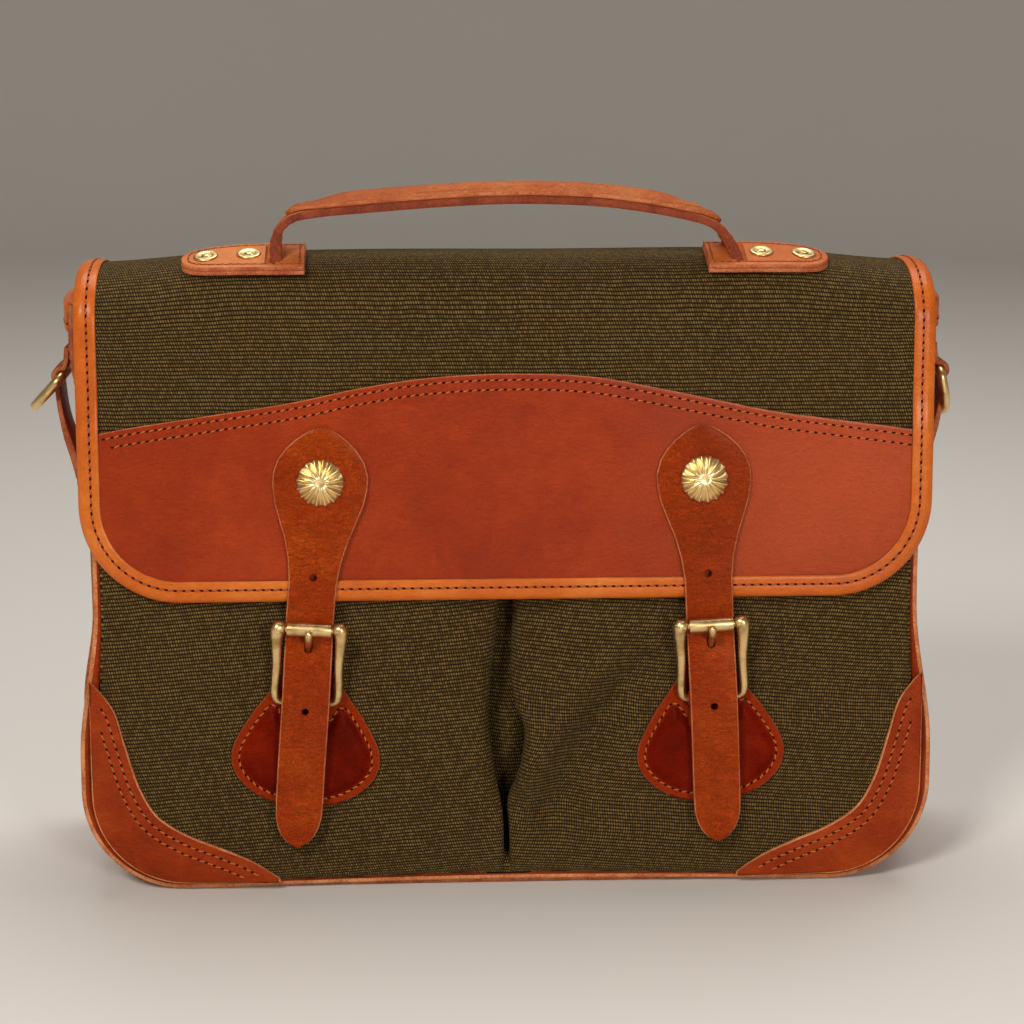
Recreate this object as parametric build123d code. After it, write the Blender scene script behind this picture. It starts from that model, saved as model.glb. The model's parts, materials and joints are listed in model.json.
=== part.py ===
from build123d import *
import math
import os

# Messenger bag: a canvas body with two front pockets, a full flap with leather trim,
# two strap-and-buckle closures, a carrying handle and two D-rings for a shoulder strap.
# Millimetres. +Z is up, -Y is the front and X runs across the bag.
# The origin is on the underside of the base, in the middle of the bag's width.

# ---------------------------------------------------------------- main compartment
MAIN_HALF = 195.0          # half of the outer width
MAIN_CORNER = 46.0         # radius of the two lower corners
MAIN_FRONT_Y = -16.0       # front edge of the gusset
MAIN_BACK_Y = 47.6         # back edge of the gusset
GUSSET = 2.6               # leather gusset
PANEL = 2.4                # canvas panel with its backing
FRONT_PANEL_TOP = 250.0
GUSSET_TOP = 265.0
BINDING_DROP = 12.3        # how far the binding reaches down the gusset's top edge
BINDING_SKIN = 1.1
WELT = 2.6                 # doubled leather edging along a seam
WELT_WIDTH = 11.0
BASE_BOARD = 2.5
LINING = 0.8
CLEAR = 0.3                # gap between pieces that aren't sewn face to face
LINING_TOP = 248.0
SLIP_POCKET = (240.0, 1.4, 155.0)
SLIP_POCKET_LOW = 60.0

# ---------------------------------------------------------------- front pockets
FRONT_Y = -52.0            # outer face of the pocket fronts, at the floor
LEAN = 3.5                 # degrees that the bag's front leans back
POCKET_HALF = 188.0
POCKET_CORNER = 42.0
POCKET_GUSSET = 2.2
POCKET_TOP = 218.0
CANVAS = 1.8
POCKET_WELT_HALF = 193.0
POCKET_WELT_LOW = 0.5
CANVAS_HALF = 184.0        # half width of the two pocket fronts together
CANVAS_LOW = 8.5
PLEAT_HALF = 14.0          # half width of the pleat between the pockets
PLEAT_SHEET = 1.4
PATCH = 2.0
PATCH_HALF = 188.5
PATCH_LOW = 4.5

# ---------------------------------------------------------------- flap
FLAP_HALF = 190.5
FLAP_CORNER = 44.0
FLAP_LOW = 135.0           # lower edge, measured up the leaning front
SHOULDER_LOW = 262.0       # where the front starts to bend over to the top
# Distances of the flap's layers in front of the pocket fronts.
LINING_N = (1.4, 2.2)
CANVAS_N = (2.3, 3.7)
LEATHER_N = (3.8, 5.2)
BINDING_N = (0.3, 6.3)
BINDING_WIDTH = 10.0
BINDING_EDGE = 1.2
SHOULDER_RADIUS = 21.3     # front bend, crown and back of the top, at distance 0
CROWN_RADIUS = 56.3
BACK_RADIUS = 116.3
PLATE_SLOPE = 17.0         # degrees that the top slopes under the handle plates
HINGE_Y = 48.8
HINGE_N = sum(CANVAS_N) / 2
BACK_PANEL_DROP = 1.4      # from the flap's hinge line down to the back panel

# ---------------------------------------------------------------- strap closures
STRAP_X = 85.3             # middle of the concho
CONCHO_V = 189.5
STRAP_TILT = 3.05          # degrees that each strap hangs outwards
STRAP_HALF = 10.7
STRAP = 2.4
STRAP_N = 7.7              # middle of the strap where it lies on the flap
STRAP_TIP_V = 22.0
BAR_V, BAR_N, BAR_R = 89.0, 5.2, 1.6
ROLLER_V, ROLLER_N, ROLLER_R = 123.8, 12.1, 2.8
PIN_R = 1.5
RUNNING = 0.08             # radial clearance of a turning fit
ROLLER_HALF = 9.9
CORNER_X, CORNER_R = 13.2, 3.0
FOOT_X, FOOT_R = 13.5, 1.7
TAB_HALF = 9.5             # half width of the fold that holds the buckle's bar
TAB_N = (0.3, 2.3)
TAB_FOLD_R = 3.4
PRONG_HALF = 1.6
PRONG = 2.6
HOLE_R = 1.8
CONCHO_R = 10.6
POST_R = 2.0

# ---------------------------------------------------------------- handle
PLATE_INNER, PLATE_OUTER, PLATE_HALF = 89.3, 143.8, 13.6
PLATE = 2.0
RIVET_X = (114.0, 133.0)
RIVET_R, BURR_R = 1.9, 5.4
LEG_X = 103.5
HANDLE_HALF = 9.0          # half of the handle strap's width
HANDLE_STRAP = 3.6
HANDLE_FILLER = 2.8
HANDLE_OVERLAY = 3.3
HANDLE_ARCH = 437.0        # radius of the grip's long arch
HANDLE_MID_Z = 312.6       # middle of the handle strap, over the middle of the bag
LEG_BEND = 13.0
OVERLAY_HALF_LENGTH = 97.0

# ---------------------------------------------------------------- D-rings
RING_Y = 14.0
RING_X, RING_Z = 202.2, 229.0
RING_WIRE = 2.2
RING_HALF = 14.7           # half width, between wire middles
RING_BEND = 3.5
RING_DEPTH = 20.5          # from the straight bar to the far end of the bow
RING_HANG = {"left": 47.0, "right": 78.0}   # degrees below level at rest
RING_TAB_HALF = 10.6
RING_TAB_R = 4.9
RING_TAB_LOW = 160.0

FRONT = Location((0, FRONT_Y, 0), (-LEAN, 0, 0))
BOTTOM = (Align.CENTER, Align.CENTER, Align.MIN)


def plate(outline, near, far):
    """Solid between two distances in front of the pocket fronts, before they lean."""
    return extrude(Plane.XZ.offset(near) * outline, far - near)


def slab(outline, front_y, back_y):
    """Upright solid between two places along Y."""
    return extrude(Plane.XZ.offset(-back_y) * outline, back_y - front_y)


def pan(half, corner, top, low=0.0):
    """Outline of a bag panel: straight top, rounded lower corners."""
    box = Pos(0, (top + low) / 2) * Rectangle(2 * half, top - low)
    return fillet(box.vertices().sort_by(Axis.Y)[:2], corner)


def pan_band(half, corner, top, width, low=0.0):
    """Band of even width along the sides and the bottom of a panel."""
    return pan(half, corner, top, low) - pan(half - width, corner - width, top + 1, low + width)


def block(x, y, z):
    """Box from its low and high limits along each axis."""
    middle = [(low + high) / 2 for low, high in (x, y, z)]
    return Pos(*middle) * Box(x[1] - x[0], y[1] - y[0], z[1] - z[0])


def mirrored(shape):
    return mirror(shape, about=Plane.YZ)


def both_sides(name, shape):
    """The right-hand piece as made, and its mirror image on the left."""
    return {f"{name}_right": shape, f"{name}_left": mirrored(shape)}


# ---------------------------------------------------------------- main compartment
def main_body():
    parts = {}
    outline = pan(MAIN_HALF, MAIN_CORNER, GUSSET_TOP)
    back_top = hinge_line()[1] - BACK_PANEL_DROP
    parts["back_panel"] = slab(
        pan(MAIN_HALF, MAIN_CORNER, back_top), MAIN_BACK_Y, MAIN_BACK_Y + PANEL
    )
    parts["back_welt"] = slab(
        pan_band(MAIN_HALF + 1.5, MAIN_CORNER + 1.5, GUSSET_TOP - 4, WELT_WIDTH, 0.6),
        MAIN_BACK_Y + PANEL,
        MAIN_BACK_Y + PANEL + WELT,
    )
    parts["front_panel"] = slab(
        pan(MAIN_HALF, MAIN_CORNER, FRONT_PANEL_TOP), MAIN_FRONT_Y - PANEL, MAIN_FRONT_Y
    )
    inside = pan(MAIN_HALF - GUSSET, MAIN_CORNER - GUSSET, GUSSET_TOP + 1, GUSSET)
    parts["main_gusset"] = slab(outline - inside, MAIN_FRONT_Y, MAIN_BACK_Y)

    board_low = GUSSET + CLEAR
    flat_half = MAIN_HALF - MAIN_CORNER - 3
    parts["base_board"] = block(
        (-flat_half, flat_half),
        (MAIN_FRONT_Y + 1, MAIN_BACK_Y - 1),
        (board_low, board_low + BASE_BOARD),
    )
    half = MAIN_HALF - GUSSET - CLEAR
    corner = MAIN_CORNER - GUSSET - CLEAR
    low = board_low + BASE_BOARD + CLEAR
    front, back = MAIN_FRONT_Y + CLEAR, MAIN_BACK_Y - CLEAR
    hollow = pan(half - LINING, corner - LINING, LINING_TOP + 1, low + LINING)
    parts["lining"] = slab(pan(half, corner, LINING_TOP, low), front, back) - slab(
        hollow, front + LINING, back - LINING
    )
    width, thickness, height = SLIP_POCKET
    parts["slip_pocket"] = block(
        (-width / 2, width / 2),
        (back - LINING - thickness, back - LINING),
        (SLIP_POCKET_LOW, SLIP_POCKET_LOW + height),
    )

    skin = BINDING_SKIN
    wall = 0.15
    binding = block(
        (MAIN_HALF - GUSSET - skin - wall, MAIN_HALF + skin + wall),
        (MAIN_FRONT_Y, MAIN_BACK_Y),
        (GUSSET_TOP - BINDING_DROP, GUSSET_TOP + skin + wall),
    )
    binding -= block(
        (MAIN_HALF - GUSSET - wall, MAIN_HALF + wall),
        (MAIN_FRONT_Y - 1, MAIN_BACK_Y + 1),
        (GUSSET_TOP - BINDING_DROP - 1, GUSSET_TOP + wall),
    )
    parts.update(both_sides("gusset_binding", binding))
    return parts


# ---------------------------------------------------------------- D-rings
def ring_tab():
    """Doubled leather strip on the gusset, looped round the ring's straight bar."""
    x, z = RING_X, RING_Z
    outside = MAIN_HALF + 0.1
    strip = make_face(
        Polyline(
            (x + RING_TAB_R, z),
            (x + 2.1, z - 7),
            (x - 0.6, z - 16),
            (x - 2.2, z - 40),
            (x - 2.2, RING_TAB_LOW),
            (outside, RING_TAB_LOW),
            (outside, z - 22),
            (x - RING_TAB_R, z),
            close=True,
        )
    )
    profile = strip + Pos(x, z) * Circle(RING_TAB_R)
    profile -= Pos(x, z) * Circle(RING_WIRE + RUNNING)
    tab = extrude(Plane.XZ * profile, RING_TAB_HALF, both=True)
    return Pos(0, RING_Y, 0) * tab


def d_ring(hang):
    """Closed ring of round wire, drawn hanging straight down and then swung outwards."""
    half, bend, depth = RING_HALF, RING_BEND, RING_DEPTH
    leg = depth - half
    corner = bend * (1 - math.cos(math.radians(45)))
    bow = half * math.cos(math.radians(45))
    path = Wire(
        [
            Line((0, 0, 0), (0, half - bend, 0)),
            ThreePointArc((0, half - bend, 0), (0, half - corner, -corner), (0, half, -bend)),
            Line((0, half, -bend), (0, half, -leg)),
            ThreePointArc((0, half, -leg), (0, bow, -leg - bow), (0, 0, -depth)),
        ]
    )
    wire = sweep(Plane(origin=(0, 0, 0), z_dir=(0, 1, 0)) * Circle(RING_WIRE), path=path)
    ring = wire + mirror(wire, about=Plane.XZ)
    return Pos(RING_X, RING_Y, RING_Z) * Rot(0, hang - 90, 0) * ring


def d_rings():
    parts = both_sides("d_ring_tab", ring_tab())
    parts["d_ring_right"] = d_ring(RING_HANG["right"])
    parts["d_ring_left"] = mirrored(d_ring(RING_HANG["left"]))
    return parts


# ---------------------------------------------------------------- front pockets
def pockets():
    parts = {}
    behind_welt = -CANVAS - 0.1 - WELT
    room = FRONT * plate(Rectangle(600, 900), -200, behind_welt - 0.2)
    ring = pan_band(POCKET_HALF, POCKET_CORNER, POCKET_TOP - 2, POCKET_GUSSET)
    main_face = MAIN_FRONT_Y - PANEL
    parts["pocket_gusset"] = slab(ring, FRONT_Y - 20, main_face) & room
    welt = pan_band(
        POCKET_WELT_HALF, MAIN_CORNER, POCKET_TOP, WELT_WIDTH, POCKET_WELT_LOW
    )
    parts["pocket_welt"] = FRONT * plate(welt, behind_welt, -CANVAS - 0.1)

    # The pleat is one folded canvas strip: a back and two legs that reach the fronts.
    pleat_low = POCKET_WELT_LOW + WELT_WIDTH + 0.5
    high = (pleat_low, POCKET_TOP - 4)
    deep = (FRONT_Y - 20, main_face)
    pleat = block((-PLEAT_HALF, PLEAT_HALF), deep, high)
    pleat -= block(
        (-PLEAT_HALF + PLEAT_SHEET, PLEAT_HALF - PLEAT_SHEET),
        (deep[0] - 1, main_face - PLEAT_SHEET),
        (high[0] - 1, high[1] + 1),
    )
    parts["pocket_pleat"] = pleat & (FRONT * plate(Rectangle(600, 900), -200, -CANVAS - 0.1))

    # The two fronts bow away from each other over the pleat.
    fronts = pan(CANVAS_HALF, POCKET_CORNER - 4, POCKET_TOP, CANVAS_LOW)
    for side, edge in {"left": (-3.0, -8.5, -2.0), "right": (2.0, 6.0, 1.0)}.items():
        sign = -1 if side == "left" else 1
        seam = ThreePointArc((edge[0], POCKET_TOP + 1), (edge[1], 78), (edge[2], 0))
        rest = Polyline(
            (edge[2], 0), (sign * 250, 0), (sign * 250, POCKET_TOP + 1), (edge[0], POCKET_TOP + 1)
        )
        parts[f"pocket_front_{side}"] = FRONT * plate(
            fronts & make_face([seam, *rest.edges()]), -CANVAS, 0
        )

    curve = Spline((189.5, 101), (177.5, 86), (169, 58), (157, 36), (132, 20), (110, 3))
    outer = Polyline((110, 3), (110, -5), (210, -5), (210, 101), (189.5, 101))
    crescent = make_face([curve, *outer.edges()])
    crescent &= pan(PATCH_HALF, POCKET_CORNER, POCKET_TOP, PATCH_LOW)
    patch = FRONT * plate(crescent, 0.1, 0.1 + PATCH)
    parts.update(both_sides("corner_patch", patch))
    return parts


# ---------------------------------------------------------------- flap
def on_front(distance, height):
    """Y and Z of a point at a distance in front of the pockets and a height up the lean."""
    lean = math.radians(LEAN)
    y = FRONT_Y + height * math.sin(lean) - distance * math.cos(lean)
    return y, height * math.cos(lean) + distance * math.sin(lean)


def flap_centres():
    """Centres of the shoulder, the crown and the back of the flap's top."""
    slope = math.radians(PLATE_SLOPE)
    first = on_front(-SHOULDER_RADIUS, SHOULDER_LOW)
    step = SHOULDER_RADIUS - CROWN_RADIUS
    second = (first[0] - step * math.sin(slope), first[1] + step * math.cos(slope))
    third = (second[0], second[1] + CROWN_RADIUS - BACK_RADIUS)
    return first, second, third


def hinge_line():
    """Y and Z of the line along which the flap is hinged to the back panel."""
    _, _, (centre_y, centre_z) = flap_centres()
    radius = BACK_RADIUS + HINGE_N
    rise = math.sqrt(radius**2 - (HINGE_Y - centre_y) ** 2)
    return HINGE_Y, centre_z + rise


def flap_curve(distance, back_y):
    """Edges of the flap's side view at one distance, from the lower edge to the back."""
    first, second, third = flap_centres()

    def at(centre, radius, tilt):
        angle = math.radians(tilt)
        y = centre[0] - (radius + distance) * math.sin(angle)
        return (0, y, centre[1] + (radius + distance) * math.cos(angle))

    upright = 90 - LEAN
    last = -math.degrees(math.asin((back_y - third[0]) / (BACK_RADIUS + distance)))
    bottom = (0, *on_front(distance, FLAP_LOW - 5))
    start = at(first, SHOULDER_RADIUS, upright)
    over = at(first, SHOULDER_RADIUS, PLATE_SLOPE)
    crown = at(second, CROWN_RADIUS, 0)
    back = at(third, BACK_RADIUS, last)
    return [
        Line(bottom, start),
        ThreePointArc(start, at(first, SHOULDER_RADIUS, (upright + PLATE_SLOPE) / 2), over),
        ThreePointArc(over, at(second, CROWN_RADIUS, PLATE_SLOPE / 2), crown),
        ThreePointArc(crown, at(third, BACK_RADIUS, last / 2), back),
    ]


def flap_layer(near, far, inset, back_y=HINGE_Y):
    """One layer of the flap, with its edge inset from the flap's outline."""
    inner, outer = flap_curve(near, back_y), flap_curve(far, back_y)
    ends = [Line(inner[0] @ 0, outer[0] @ 0), Line(inner[-1] @ 1, outer[-1] @ 1)]
    side = make_face([*inner, *outer, *ends])
    sheet = extrude(side, FLAP_HALF + 5, dir=(1, 0, 0), both=True)
    return sheet & flap_prism(inset)


def flap_prism(inset):
    outline = pan(FLAP_HALF - inset, FLAP_CORNER - inset, 400, FLAP_LOW + inset)
    return FRONT * plate(outline, -300, 60)


def flap_holes():
    """Holes through the flap for the concho posts and the handle rivets."""
    post = plate(Pos(0, CONCHO_V) * Circle(POST_R + 0.15), -0.5, 20)
    post = FRONT * on_strap(post)
    holes = [post, mirrored(post)]
    for x in RIVET_X:
        hole = plate_frame() * Pos(x, 0, 0) * Cylinder(RIVET_R + 0.15, 40)
        holes += [hole, mirrored(hole)]
    return holes


def flap():
    parts = {}
    edge = BINDING_EDGE + 0.2
    holes = flap_holes()
    nose = Pos(0, *hinge_line()) * Rot(0, 90, 0) * Cylinder(
        (CANVAS_N[1] - CANVAS_N[0]) / 2, 2 * (FLAP_HALF - edge)
    )
    parts["flap_canvas"] = (flap_layer(*CANVAS_N, edge) + nose) - holes
    parts["flap_lining"] = flap_layer(*LINING_N, edge, back_y=HINGE_Y - 3) - holes

    wave = [(0, 236.7), (37, 235.3), (66, 230.5), (92, 225.2), (138, 217.6), (200, 209.5)]
    crest = Spline(*[(-x, v) for x, v in reversed(wave[1:])], *wave)
    rest = Polyline((200, 209.5), (200, 100), (-200, 100), (-200, 209.5))
    lower = make_face([crest, *rest.edges()])
    lower &= pan(FLAP_HALF - edge, FLAP_CORNER - edge, 400, FLAP_LOW + edge)
    parts["flap_leather"] = (FRONT * plate(lower, *LEATHER_N)) - holes

    near, far = BINDING_N
    skin = 1.0
    back_y = HINGE_Y - 7
    binding = flap_layer(near, far, 0, back_y) - flap_layer(
        near + skin, far - skin, BINDING_EDGE, back_y + 0.5
    )
    parts["flap_binding"] = binding - flap_prism(BINDING_WIDTH)
    return parts


# ---------------------------------------------------------------- strap closures
def on_strap(shape):
    """Put a piece drawn upright on the strap's middle line where the right strap hangs."""
    turn = Pos(STRAP_X, 0, CONCHO_V) * Rot(0, -STRAP_TILT, 0) * Pos(0, 0, -CONCHO_V)
    return turn * shape


def across(profile, half):
    """Extrude a side view, given as (distance in front, height), across the strap."""
    return extrude(Plane.YZ * mirror(profile, about=Plane.YZ), half, both=True)


def rod(start, end, start_r, end_r):
    """Tapered round rod with ball ends."""
    a, b = Vector(*start), Vector(*end)
    along = Plane(origin=(a + b) * 0.5, z_dir=b - a)
    taper = along * Cone(start_r, end_r, (b - a).length)
    return taper + Pos(*start) * Sphere(start_r) + Pos(*end) * Sphere(end_r)


def strap():
    """Closure strap: spoon-shaped head on the flap, run through the buckle, loose tail."""
    middle = [
        (STRAP_N, 230),
        (STRAP_N, ROLLER_V - 2.8),
        (BAR_N + TAB_FOLD_R + STRAP / 2 + CLEAR, BAR_V + 3),
        (BAR_N + TAB_FOLD_R + STRAP / 2 + CLEAR, BAR_V - 2),
        (8.0, STRAP_TIP_V - 5),
    ]
    front = [(n + STRAP / 2, v) for n, v in middle]
    back = [(n - STRAP / 2, v) for n, v in reversed(middle)]
    sheet = across(make_face(Polyline(*front, *back, close=True)), 40)

    head = [(0, 214), (9.2, 209.5), (17, 202.5), (21, 192.5), (20.6, 184), (18.3, 174.5)]
    neck = [(14, 163.5), (11.7, 154), (STRAP_HALF, 144)]
    tail = [(STRAP_HALF, 36), (8.4, 27.5), (0, STRAP_TIP_V)]
    top = Spline(*head, *neck, tangents=[(1, 0), (0, -1)])
    side = Line(neck[-1], tail[0])
    tip = Spline(*tail, tangents=[(0, -1), (-1, 0)])
    edges = [top, side, tip]
    outline = make_face([*edges, *[mirror(edge, about=Plane.YZ) for edge in edges]])
    for v in (146.7, 85.9):
        outline -= Pos(0, v) * Circle(HOLE_R)
    outline -= Pos(0, CONCHO_V) * Circle(POST_R + 0.15)
    outline -= Pos(0, 114.6) * SlotCenterToCenter(4.4, 2 * (PRONG_HALF + 0.4), rotation=90)
    return sheet & plate(outline, 0, 20)


def buckle_tab():
    """Teardrop leather tab on the pocket, folded round the buckle's fixed bar."""
    half = [
        (0, 39), (12, 40.3), (20.5, 43.7), (27, 48.3), (31.8, 54.2), (33.7, 60.6),
        (32.9, 67), (29.6, 74.2), (24.2, 83.3), (18.5, 91), (14, 98), (0, 104),
    ]

    def drop(scale):
        points = [(x * scale, 62 + (v - 62) * scale) for x, v in half]
        side = Spline(*points, tangents=[(1, 0), (-1, 0)])
        return make_face([side, mirror(side, about=Plane.YZ)])

    tab = plate(drop(1), *TAB_N) + plate(drop(0.76), TAB_N[1], TAB_N[1] + 1.8)
    fold = make_face(
        Polyline(
            (TAB_N[0] + 0.5, 70),
            (TAB_N[0] + 0.5, BAR_V),
            (BAR_N + TAB_FOLD_R, BAR_V),
            (TAB_N[1] + 1.6, 70),
            close=True,
        )
    )
    fold += Pos(BAR_N, BAR_V) * Circle(TAB_FOLD_R)
    tab += across(fold, TAB_HALF)
    tab -= across(Pos(BAR_N, BAR_V) * Circle(BAR_R + RUNNING), 30)
    slot = PRONG_HALF + 0.5
    tab -= block((-slot, slot), (-20, -1.1), (BAR_V - 4.5, BAR_V + 6))
    tab -= block((-slot, slot), (-20, -TAB_N[1] - 1.8), (50, BAR_V - 4))
    return tab


def buckle_frame():
    """Cast frame: fixed bar below, pin for the roller above, heavy upper corners."""
    bar, pin = (-BAR_N, BAR_V), (-ROLLER_N, ROLLER_V)
    frame = Pos(0, *bar) * Rot(0, 90, 0) * Cylinder(BAR_R, 2 * FOOT_X)
    frame += Pos(0, *pin) * Rot(0, 90, 0) * Cylinder(PIN_R, 2 * CORNER_X)
    for side in (-1, 1):
        frame += rod((side * FOOT_X, *bar), (side * CORNER_X, *pin), FOOT_R, CORNER_R)
    return frame


def buckle_roller():
    roller = Cylinder(ROLLER_R, 2 * ROLLER_HALF) - Cylinder(PIN_R + RUNNING, 4 * ROLLER_HALF)
    return Pos(0, -ROLLER_N, ROLLER_V) * Rot(0, 90, 0) * roller


def buckle_prong():
    """Prong with an eye round the bar, up behind the strap and out over the roller."""
    half = PRONG / 2
    front = [(BAR_N + half, BAR_V), (BAR_N + half, 111.2), (16.0, 119.6), (18.2, 124.2)]
    back = [(16.0, 125.4), (14.5, 121.7), (BAR_N - half, 112.9), (BAR_N - half, BAR_V)]
    shank = make_face(Polyline(*front, *back, close=True))
    shank += Pos(BAR_N, BAR_V) * Circle(BAR_R + RUNNING + 1.4)
    shank -= Pos(BAR_N, BAR_V) * Circle(BAR_R + RUNNING)
    return across(shank, PRONG_HALF)


def concho():
    """Domed disc on a post, drawn at its place on the strap's front."""
    face = STRAP_N + STRAP / 2 + 0.1
    rise = 3.0
    radius = (CONCHO_R**2 + rise**2) / (2 * rise)
    dome = Pos(0, -(face + rise - radius), CONCHO_V) * Sphere(radius)
    disc = dome & plate(Pos(0, CONCHO_V) * Circle(CONCHO_R), face, face + rise + 1)
    return disc + plate(Pos(0, CONCHO_V) * Circle(POST_R), LINING_N[0], face + 1)


def concho_screw():
    """Flat screw head that holds the concho from inside the flap."""
    return plate(Pos(0, CONCHO_V) * Circle(4.5), 0.3, LINING_N[0] - 0.05)


def closures():
    parts = {}
    pieces = {
        "closure_strap": strap(),
        "buckle_tab": buckle_tab(),
        "buckle_frame": buckle_frame(),
        "buckle_roller": buckle_roller(),
        "buckle_prong": buckle_prong(),
        "concho": concho(),
        "concho_screw": concho_screw(),
    }
    for name, piece in pieces.items():
        parts.update(both_sides(name, FRONT * on_strap(piece)))
    return parts


# ---------------------------------------------------------------- handle
def plate_frame():
    """Frame of the handle plates: origin on the canvas, Z square to the plates."""
    slope = math.radians(PLATE_SLOPE)
    (y, z), _, _ = flap_centres()
    reach = SHOULDER_RADIUS + CANVAS_N[1]
    origin = (0, y - reach * math.sin(slope), z + reach * math.cos(slope))
    return Plane(origin=origin, x_dir=(1, 0, 0), z_dir=(0, -math.sin(slope), math.cos(slope)))


def handle_pivot():
    """Y and Z of the line about which the handle rocks, above the middle of the plates."""
    slope = math.radians(PLATE_SLOPE)
    lift = 0.4 + 2 * PLATE + 0.2 + CLEAR + HANDLE_HALF
    middle = plate_frame().origin
    return middle.Y, middle.Z + lift / math.cos(slope)


def handle_plates():
    parts = {}
    frame = plate_frame()
    length = PLATE_OUTER - PLATE_INNER
    outline = Pos((PLATE_OUTER + PLATE_INNER) / 2, 0) * Rectangle(length, 2 * PLATE_HALF)
    outline = fillet(outline.vertices().sort_by(Axis.X)[2:], PLATE_HALF - 1)
    rivets = [Pos(x, 0) * Circle(RIVET_R + 0.15) for x in RIVET_X]
    slit = Pos(LEG_X, 0) * Rectangle(HANDLE_STRAP + 1.4, 2 * HANDLE_HALF + 1)
    stub = Pos(LEG_X, 0) * Rectangle(HANDLE_STRAP, 2 * HANDLE_HALF - 1)
    low, high = 0.4, 0.4 + PLATE + 0.2
    upper = frame * Pos(0, 0, high) * extrude(outline - rivets - slit, PLATE)
    root = frame * Pos(0, 0, low) * (extrude(outline - rivets, PLATE) + extrude(stub, 2 * PLATE))
    parts.update(both_sides("handle_plate", upper))
    parts.update(both_sides("handle_root", root))

    backing = flap_layer(LINING_N[0] - 2.1, LINING_N[0] - 0.1, 0, back_y=-2)
    backing &= block((PLATE_INNER - 3, PLATE_OUTER + 3), (-36, -4), (200, 320))
    parts.update(both_sides("handle_backing", backing - flap_holes()))

    # Two copper rivets a side: head under the backing, stem up through a burr.
    under = -CANVAS_N[1] - 2.2
    top = high + PLATE
    stems, burrs = [], []
    for x in RIVET_X:
        stem = Pos(x, 0, under) * Cylinder(RIVET_R, top + 1.3 - under, align=BOTTOM)
        head = Pos(x, 0, under - 1.2) * Cylinder(BURR_R, 1.2, align=BOTTOM)
        burr = Cylinder(BURR_R, 0.9, align=BOTTOM) - Cylinder(RIVET_R + 0.1, 5)
        stems.append(frame * (stem + head))
        burrs.append(frame * Pos(x, 0, top + 0.05) * burr)
    parts["handle_rivets"] = Compound(stems + [mirrored(stem) for stem in stems])
    parts["rivet_burrs"] = Compound(burrs + [mirrored(burr) for burr in burrs])
    return parts


def handle():
    parts = {}
    pivot_y, pivot_z = handle_pivot()
    arch_z = HANDLE_MID_Z - HANDLE_ARCH
    # The arch and the bend down to the leg share a tangent.
    reach = HANDLE_ARCH - LEG_BEND
    bend_x = LEG_X - LEG_BEND
    tilt = math.asin(bend_x / reach)
    bend_z = arch_z + reach * math.cos(tilt)

    def strap_line(offset):
        """Half of the handle's side view at a distance outside the strap's middle."""
        radius, bend = HANDLE_ARCH + offset, LEG_BEND + offset
        join = (bend_x + bend * math.sin(tilt), bend_z + bend * math.cos(tilt))
        half, turn = tilt / 2, (math.pi / 2 + tilt) / 2
        arch_mid = (radius * math.sin(half), arch_z + radius * math.cos(half))
        bend_mid = (bend_x + bend * math.sin(turn), bend_z + bend * math.cos(turn))
        return [
            ThreePointArc((0, arch_z + radius), arch_mid, join),
            ThreePointArc(join, bend_mid, (bend_x + bend, bend_z)),
            Line((bend_x + bend, bend_z), (bend_x + bend, pivot_z - 20)),
        ]

    outer, inner = strap_line(HANDLE_STRAP / 2), strap_line(-HANDLE_STRAP / 2)
    ends = [Line(outer[0] @ 0, inner[0] @ 0), Line(outer[-1] @ 1, inner[-1] @ 1)]
    side = make_face([*outer, *inner, *ends])
    side += mirror(side, about=Plane.YZ)
    belt = Pos(0, pivot_y, 0) * extrude(Plane.XZ * side, HANDLE_HALF, both=True)
    # The legs end round, so that they rock on the plates about the pivot line.
    reach_box = block((-200, 200), (pivot_y - 20, pivot_y + 20), (pivot_z, pivot_z + 60))
    foot = Pos(0, pivot_y, pivot_z) * Rot(0, 90, 0) * Cylinder(HANDLE_HALF, 400)
    parts["handle_strap"] = belt & (reach_box + foot)

    def along_arch(low, height, half_width, half_length):
        """Layer that follows the arch, between two heights over the strap's middle."""
        swing = math.degrees(half_length / HANDLE_ARCH)
        section = Pos(0, HANDLE_ARCH + low + height / 2) * RectangleRounded(
            2 * half_width, height, min(height, half_width) * 0.3
        )
        ring = revolve(Plane.YZ * section, Axis.Y, 2 * swing)
        return Pos(0, pivot_y, arch_z) * Rot(0, -swing, 0) * ring

    level = HANDLE_STRAP / 2 + 0.1
    parts["handle_filler"] = along_arch(level, HANDLE_FILLER, 6.5, OVERLAY_HALF_LENGTH - 12)
    overlay = along_arch(
        level + HANDLE_FILLER + 0.1, HANDLE_OVERLAY, HANDLE_HALF + 0.6, OVERLAY_HALF_LENGTH
    )
    parts["handle_overlay"] = overlay
    return parts


# ---------------------------------------------------------------- write the pieces
os.makedirs("parts", exist_ok=True)
pieces = {}
for group in (main_body, d_rings, pockets, flap, closures, handle_plates, handle):
    pieces.update(group())
for name, piece in pieces.items():
    export_step(piece, f"parts/{name}.step")
    print(name, round(piece.volume / 1000, 2), "cm3")
print("flap hinge", [round(value, 3) for value in hinge_line()])
print("handle pivot", [round(value, 3) for value in handle_pivot()])
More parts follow.
